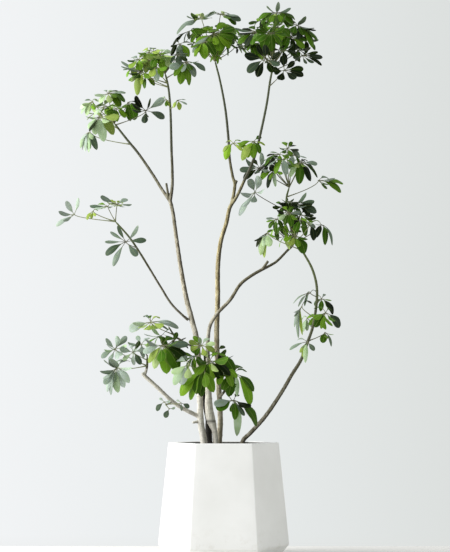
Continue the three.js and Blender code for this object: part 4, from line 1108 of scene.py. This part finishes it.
def bark_material():
    s = Shader("bark")
    scar, tan, green = s.attribute("grain")
    shady, pale, stump_shade_and_collar = s.attribute("shade_pale_and_collar")
    position = s.position()
    streaks = s.noise(s.stretched(position, (1, 1, 0.22)), 190, 5, 0.65)
    patches = s.noise(position, 26)
    grey = s.ramp(streaks, [(0.34, (84, 76, 62)), (0.46, (146, 138, 120)), (0.62, (206, 200, 184))])
    warm = s.ramp(streaks, [(0.34, (104, 90, 54)), (0.48, (168, 154, 110)), (0.64, (214, 204, 164))])
    base = s.mix(tan, grey, warm)
    base = s.mix(s.times(green, s.range(patches, 0.3, 0.7, 0.55, 1)), base, (68, 68, 37))
    base = s.mix(s.range(patches, 0.5, 0.72, 0, 0.4), base, (112, 102, 84))
    dots = s.range(s.cells(s.stretched(position, (1, 1, 1.6)), 260), 0, 0.25, 1, 0)
    base = s.mix(s.times(dots, 0.4), base, (206, 198, 178))
    base = s.mix(s.times(pale, s.range(streaks, 0.36, 0.6, 0.55, 1)), base, (246, 242, 230))
    base = s.mix(s.times(scar, 0.6), base, (80, 68, 52))
    base = s.dimmed(base, (48, 52, 30))
    # Painted shade on the side of the bark away from the window, less of it towards the pale feet
    unlit = s.times(s.range(pale, 0, 1, 1, 0.4), s.range(shady, 0.05, 0.55, 0, 0.92))
    base = s.mix(unlit, base, (50, 45, 30))
    # The dark stump is painted shade filling the gap between the trunks; this channel also carries the dark
    # collar
    base = s.mix(stump_shade_and_collar, base, (38, 35, 28))
    fine = s.noise(s.stretched(position, (1, 1, 0.35)), 620, 4, 0.7)
    height = s.plus(streaks, s.plus(s.times(fine, 0.4), s.times(dots, 0.35)))
    return s.finish(base, s.range(streaks, 0.3, 0.7, 0.85, 0.68), s.bump(height, 0.9, 0.0016))


def pot_material():
    s = Shader("white_ceramic")
    position = s.position()
    base = s.ramp(s.noise(position, 7), [(0.3, (238, 238, 235)), (0.7, (246, 246, 244))])
    low = s.range(s.height(), 0, 0.11, 1, 0)
    scuff = s.range(s.noise(position, 30, 5, 0.7), 0.52, 0.72, 0, 1)
    base = s.mix(s.times(s.times(low, scuff), 0.35), base, (176, 166, 146))
    speck = s.range(s.cells(position, 60), 0, 0.045, 1, 0)
    base = s.mix(s.times(speck, 0.25), base, (196, 192, 182))
    # The pot's inner wall is dark grey: painted shade, as it lies in shadow below the rim
    inner_wall_shade, _, _ = s.attribute("place")
    base = s.mix(inner_wall_shade, base, (104, 104, 100))
    roughness = s.range(s.noise(position, 90, 4), 0.3, 0.7, 0.38, 0.52)
    grain = s.plus(s.noise(position, 18), s.times(s.noise(position, 420), 0.12))
    return s.finish(base, roughness, s.bump(grain, 0.35, 0.0012), 0.45)


def soil_material():
    s = Shader("potting_soil")
    grit, _, _ = s.attribute("tint")
    crumbs = s.noise(s.position(), 260, 5, 0.7)
    base = s.ramp(crumbs, [(0.3, (28, 20, 15)), (0.5, (62, 46, 34)), (0.72, (104, 82, 62))])
    base = s.mix(grit, base, s.ramp(crumbs, [(0.3, (150, 138, 118)), (0.7, (208, 202, 188))]))
    return s.finish(base, 0.95, s.bump(crumbs, 0.8, 0.0015))


def wood(name, stems, seed, material):
    """Tubes along the stems, remeshed into one skin, then scarred where old leaves grew."""
    draw = random.Random(seed)
    builder = Builder()
    lines = []
    for stem in stems:
        route = stem["route"]
        last = route[stem.get("bark", -1)]
        if stem.get("rooted"):
            x, y, z, radius = route[0]
            wide = radius * ROOT_SWELL
            route = [[x, y, z - ROOT_DEPTH, wide], [x, y, z - ROOT_DEPTH / 2, wide], *route]
        centres, radii = smooth_route(route, WOOD_STEP)
        stop = nearest(centres, last) + 1
        lines.append((centres[:stop], radii[:stop], stem))
        tube(builder, centres[:stop], radii[:stop], WOOD_SIDES)
    obj = builder.make(name + "_bark", [material])
    remesh = obj.modifiers.new("skin", "REMESH")
    remesh.mode = "VOXEL"
    remesh.voxel_size = WOOD_PITCH * MM
    remesh.use_smooth_shade = True
    relax = obj.modifiers.new("relax", "SMOOTH")
    relax.factor = 0.5
    relax.iterations = 3
    evaluated = obj.evaluated_get(bpy.context.evaluated_depsgraph_get())
    skin = bpy.data.meshes.new_from_object(evaluated)
    obj.modifiers.clear()
    old = obj.data
    obj.data = skin
    skin.name = name + "_bark"
    bpy.data.meshes.remove(old)
    scar_skin(skin, lines, BARK_TINT[name], draw)
    return obj


def read_vectors(mesh, name):
    held = np.zeros(len(mesh.vertices) * 3, np.float32)
    mesh.vertices.foreach_get(name, held)
    return held.reshape(-1, 3)


def scar_skin(mesh, lines, tint, draw):
    """Raises leaf scars and ridges on the bark, and stores what its material reads about each point."""
    points = read_vectors(mesh, "co").astype(float) / MM
    normals = read_vectors(mesh, "normal")
    columns = []
    for index, (line, radii, _) in enumerate(lines):
        _, side, other = frames(line)
        run = lengths_along(line)
        columns.append((line, run, np.full(len(line), index), radii, side, other, run / run[-1]))
    columns = [np.concatenate(column) for column in zip(*columns)]
    tree = kdtree.KDTree(len(columns[0]))
    for i, point in enumerate(columns[0]):
        tree.insert(point, i)
    tree.balance()
    near = np.array([tree.find(point)[1] for point in points])
    centre, run, stem_of, radius, side, other, share = (column[near] for column in columns)
    away = points - centre
    angle = np.arctan2((away * other).sum(1), (away * side).sum(1))
    where = run + (away * np.cross(side, other)).sum(1)
    lift = np.zeros(len(points))
    dark = np.zeros(len(points))
    for index, (centres, _, _) in enumerate(lines):
        mine = stem_of == index
        at, turn = draw.uniform(*SCAR_START), draw.uniform(*ANY_TURN)
        total = lengths_along(centres)[-1]
        while at < total:
            size = draw.uniform(*SCAR_SIZE)
            off = np.abs((angle[mine] - turn + math.pi) % TURN - math.pi)
            facing = np.exp(-((off / SCAR_SPREAD) ** 2))
            level = where[mine] - at - SCAR_ARCH * facing
            ridge = np.exp(-((level / RIDGE_WIDTH) ** 2))
            line = np.exp(-(((level - SCAR_LINE) / SCAR_LINE_WIDTH) ** 2))
            lift[mine] += size * radius[mine] * (RIDGE_ALL_ROUND + RIDGE_AT_SCAR * facing) * ridge
            dark[mine] += (LINE_ALL_ROUND + LINE_AT_SCAR * facing) * size * line
            at += draw.uniform(*SCAR_GAP)
            turn += SCAR_TURN
    wander = np.array([noise.noise(point) for point in points / LUMP_SIZE])
    fine = np.array([noise.noise(point) for point in points / GRAIN_SIZE])
    lift += wander * LUMP_HEIGHT * radius + fine * GRAIN_HEIGHT
    points += normals * lift[:, None]
    mesh.vertices.foreach_set("co", (points * MM).astype(np.float32).ravel())
    tan, green, pale = tint
    slender = np.clip((GREEN_BELOW - radius) / GREEN_WITHIN, 0, 1)
    green = np.clip(green + slender * (GREEN_SLENDER + GREEN_TOP * share), 0, 1)
    store(mesh, "grain", "POINT", np.stack([np.clip(dark, 0, 1), np.full(len(points), tan), green], axis=1))
    # Painted shade on the side of the bark that faces away from the window
    shady = np.clip(normals @ unit(np.array(SHADY_SIDE)) + SHADY_UNEVENNESS * wander, 0, 1)
    pale = pale * np.clip((PALE_BELOW[0] - points[:, 2]) / (PALE_BELOW[0] - PALE_BELOW[1]), 0, 1)
    # The flagged stump is wholly dark, as painted shade in the gap between the trunks
    stump_shade_and_collar = np.array(["stump_shade_and_collar" in stem for _, _, stem in lines])
    collar = COLLAR_TONE * np.exp(-(((points[:, 2] - COLLAR_HEIGHT) / COLLAR_WIDTH) ** 2)) * stump_shade_and_collar.any()
    store(mesh, "shade_pale_and_collar", "POINT", np.stack([shady, pale, np.where(stump_shade_and_collar[stem_of], 1, collar)], axis=1))
    mesh.update()


def rounded(profile, radius, steps=4):
    """A line of [radius, height] points with each inner corner rounded off."""
    rows = [np.array(point, float) for point in profile]
    made = [rows[0]]
    for before, corner, after in zip(rows, rows[1:], rows[2:]):
        back = min(radius, 0.45 * np.linalg.norm(corner - before), 0.45 * np.linalg.norm(after - corner))
        first = corner + unit(before - corner) * back
        last = corner + unit(after - corner) * back
        made += [bow(first, corner, last, t) for t in np.linspace(0, 1, steps + 1)]
    return [*made, rows[-1]]


def hexagon(radius, z):
    """A ring with six softly rounded corners, the first at +X."""
    apothem = radius * SIDE_SHARE
    corner = min(POT_CORNER, apothem * 0.4)
    heart = (apothem - corner) / SIDE_SHARE

    def spot(middle, angle):
        return polar(heart, middle) + polar(corner, angle, z)

    ring = []
    for k in range(POT_SIDES):
        middle = TURN * k / POT_SIDES
        for i in range(CORNER_STEPS + 1):
            ring.append(spot(middle, middle + (i / CORNER_STEPS - 0.5) * TURN / POT_SIDES))
        first = ring[-1]
        following = TURN * (k + 1) / POT_SIDES
        last = spot(following, following - math.pi / POT_SIDES)
        ring += [first + (last - first) * i / SIDE_STEPS for i in range(1, SIDE_STEPS)]
    return np.array(ring)


def pot_radius(z):
    """How far from the axis the pot's corners lie at a height above its belly."""
    rise = z - POT_BELLY_HEIGHT
    return POT_BELLY_RADIUS + (POT_RIM_RADIUS - POT_BELLY_RADIUS) * rise / (POT_HEIGHT - POT_BELLY_HEIGHT)


def pot(material):
    inner_rim = POT_RIM_RADIUS - POT_WALL * CORNER_SHARE
    inner_belly = POT_BELLY_RADIUS - POT_WALL * CORNER_SHARE
    outline = [[POT_BASE_RADIUS - POT_FOOT_BEVEL, 0], [POT_BASE_RADIUS, 0]]
    outline += [[pot_radius(z), z] for z in (POT_BELLY_HEIGHT, *POT_RINGS)]
    outline += [[POT_RIM_RADIUS, POT_HEIGHT], [inner_rim, POT_HEIGHT], [inner_belly, POT_BELLY_HEIGHT]]
    outline += [[inner_belly - POT_WALL, POT_FLOOR], [POT_FLOOR_RING, POT_FLOOR]]
    profile = rounded(outline, POT_EDGE)
    rings = [hexagon(radius, z) for radius, z in profile]
    count = len(rings[0])
    points = np.concatenate(rings)
    for point in points:
        way = point * [1, 1, 0]
        if np.linalg.norm(way) > POT_FLOOR_RING:
            point += unit(way) * POT_UNEVENNESS * noise.noise(point / POT_WAVE)
    place = np.zeros((len(points), 3))
    # The inner wall's points are marked, for the painted shade that the material puts on them
    rim = max(i for i, (_, z) in enumerate(profile) if z > POT_HEIGHT - 1)
    place[(rim + 1) * count :, 0] = 1
    builder = Builder()
    builder.add(points, ring_faces(len(rings), count), place)
    return builder.make("planter", [material])


def soil(material):
    draw = random.Random(5)

    def limit(z, angle):
        """How far from the axis the soil reaches, just short of the pot's inner wall."""
        clear = pot_radius(z) - POT_WALL * CORNER_SHARE - SOIL_GAP * CORNER_SHARE
        off = angle % (TURN / POT_SIDES) - math.pi / POT_SIDES
        return clear * SIDE_SHARE / math.cos(off)

    def mound(x, y, share, swells):
        z = SOIL_EDGE + SOIL_CROWN * (1 - share * share)
        return z + sum(height * noise.noise((x / size, y / size, layer)) for size, layer, height in swells)

    angles = [TURN * i / SOIL_SECTORS for i in range(SOIL_SECTORS)]
    points = []
    sides = [(POT_FLOOR + SOIL_LIFT, POT_WALL), (POT_BELLY_HEIGHT, 0), (SOIL_EDGE - SOIL_SHOULDER, 0)]
    for z, back in sides:
        for a in angles:
            points.append(polar(limit(z, a) - back, a, z))
    feet = [stem["route"][0] for stems in WOOD.values() for stem in stems if stem.get("rooted")]
    for share in SOIL_SHARES:
        for a in angles:
            x, y, _ = polar(limit(SOIL_EDGE, a) * share, a)
            z = mound(x, y, share, SOIL_SWELLS)
            for fx, fy, _, foot in feet:
                z += FOOT_RISE * math.exp(-(((math.hypot(x - fx, y - fy) - foot) / FOOT_SPREAD) ** 2))
            points.append([x, y, z - (EDGE_DIP if share == 1.0 else 0)])
    builder = Builder()
    builder.add(np.array(points), ring_faces(len(points) // SOIL_SECTORS, SOIL_SECTORS))
    for _ in range(CRUMBS):
        a, share = draw.uniform(0, TURN), math.sqrt(draw.random())
        x, y, _ = polar((limit(SOIL_EDGE, a) - CRUMB_MARGIN) * share, a)
        centre = np.array([x, y, mound(x, y, share, SOIL_SWELLS[:1])])
        crumb(builder, centre, draw.uniform(*CRUMB_SIZE), draw.random() < GRIT_SHARE, draw)
    return builder.make("soil_bed", [material])


def crumb(builder, centre, size, grit, draw):
    """One lump of soil or grit: an uneven ball of rings, half sunk in."""
    stretch = np.array([draw.uniform(0.7, 1.5), draw.uniform(0.7, 1.5), draw.uniform(0.5, 0.9)])
    spin = draw.uniform(*ANY_TURN)
    points = []
    for k in range(CRUMB_RINGS):
        dip = math.pi * (k + 0.5) / CRUMB_RINGS
        for i in range(CRUMB_SIDES):
            ball = polar(math.sin(dip), TURN * i / CRUMB_SIDES + spin, -math.cos(dip))
            points.append(centre + ball * stretch * size * draw.uniform(*CRUMB_UNEVENNESS))
    builder.add(np.array(points), ring_faces(CRUMB_RINGS, CRUMB_SIDES), tint=(grit, 0, 0))


leaf_materials = [leaf_material(), stalk_material(), shoot_material()]
bark = bark_material()

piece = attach(pot(pot_material()), "root")
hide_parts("pot")
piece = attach(soil(soil_material()), "root")
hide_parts("soil")
for number, (node, stems) in enumerate(WOOD.items()):
    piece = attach(wood(node, stems, 40 + number, bark), "root")
    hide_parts(node)
    for branch, stem in enumerate(stems):
        if "shoot" in stem:
            piece = spray(stem["shoot"], stem, 100 + 10 * number + branch, leaf_materials)
            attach(piece, "root")
            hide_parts(stem["shoot"])

# The stage: a pale floor that ends behind the pot
FLOOR_FRONT, FLOOR_BACK, FLOOR_SIDE = -5, 0.313, 3
FLOOR_COLOURS = (228, 226, 222), (225, 223, 219)


def floor_material():
    s = Shader("pale_floor")
    base = s.mix(s.range(s.noise(s.position(), 3, 2), 0.3, 0.7, 0, 1), *FLOOR_COLOURS)
    s.put(base, s.bsdf.inputs["Base Color"])
    s.put(0.6, s.bsdf.inputs["Roughness"])
    return s.material


corners = [
    (-FLOOR_SIDE, FLOOR_FRONT, 0), (FLOOR_SIDE, FLOOR_FRONT, 0),
    (FLOOR_SIDE, FLOOR_BACK, 0), (-FLOOR_SIDE, FLOOR_BACK, 0),
]
floor_mesh = bpy.data.meshes.new("floor")
floor_mesh.from_pydata(corners, [], [[0, 1, 2, 3]])
floor_mesh.materials.append(floor_material())
floor = place_in_scene("floor", floor_mesh)

# The surround: pale below, and a wall that grows darker from left to right, as does its light on the plant
WALL = [
    (0.0, (1.25, 1.27, 1.3, 1.0)), (0.41, (0.9, 0.915, 0.93, 1.0)), (0.5, (0.81, 0.84, 0.84, 1.0)),
    (0.59, (0.7, 0.725, 0.71, 1.0)), (1.0, (0.52, 0.53, 0.52, 1.0)),
]
WALL_FOOT = (-0.14, -0.084)
world = bpy.data.worlds.new("studio")
bpy.context.scene.world = world
world.use_nodes = True
sky = Nodes(world.node_tree)
right, _, up = sky.split(sky.node("TexCoord", {}).outputs["Generated"])
wall = sky.ramp(sky.range(right, -1, 1, 0, 1), WALL)
surround = sky.mix(sky.range(up, *WALL_FOOT, 0, 1), (224, 224, 220), wall)
background = world.node_tree.nodes["Background"]
sky.put(surround, background.inputs["Color"])
sky.put(1.0, background.inputs["Strength"])

# A window to the left of the plant
WINDOW_PLACE = Vector((-2.3, -0.25, 1.7))
WINDOW_AIM = Vector((0, 0, 0.9))
window = bpy.data.lights.new("window", "AREA")
window.shape = "RECTANGLE"
window.size, window.size_y = 1.0, 1.4
window.energy = 72
lamp = place_in_scene("window", window)
lamp.location = WINDOW_PLACE
lamp.rotation_euler = (WINDOW_AIM - WINDOW_PLACE).to_track_quat("-Z", "Y").to_euler()

# The photograph's view, from low in front of the plant and tilted up a little
camera = place_in_scene("camera", bpy.data.cameras.new("camera"))
camera.data.sensor_width = 36
camera.data.lens = 97.17
camera.location = (0.004, -4.470, 0.443)
camera.rotation_euler = (math.radians(94.986), 0, 0)
bpy.context.scene.camera = camera
bpy.context.scene.view_settings.view_transform = "Standard"
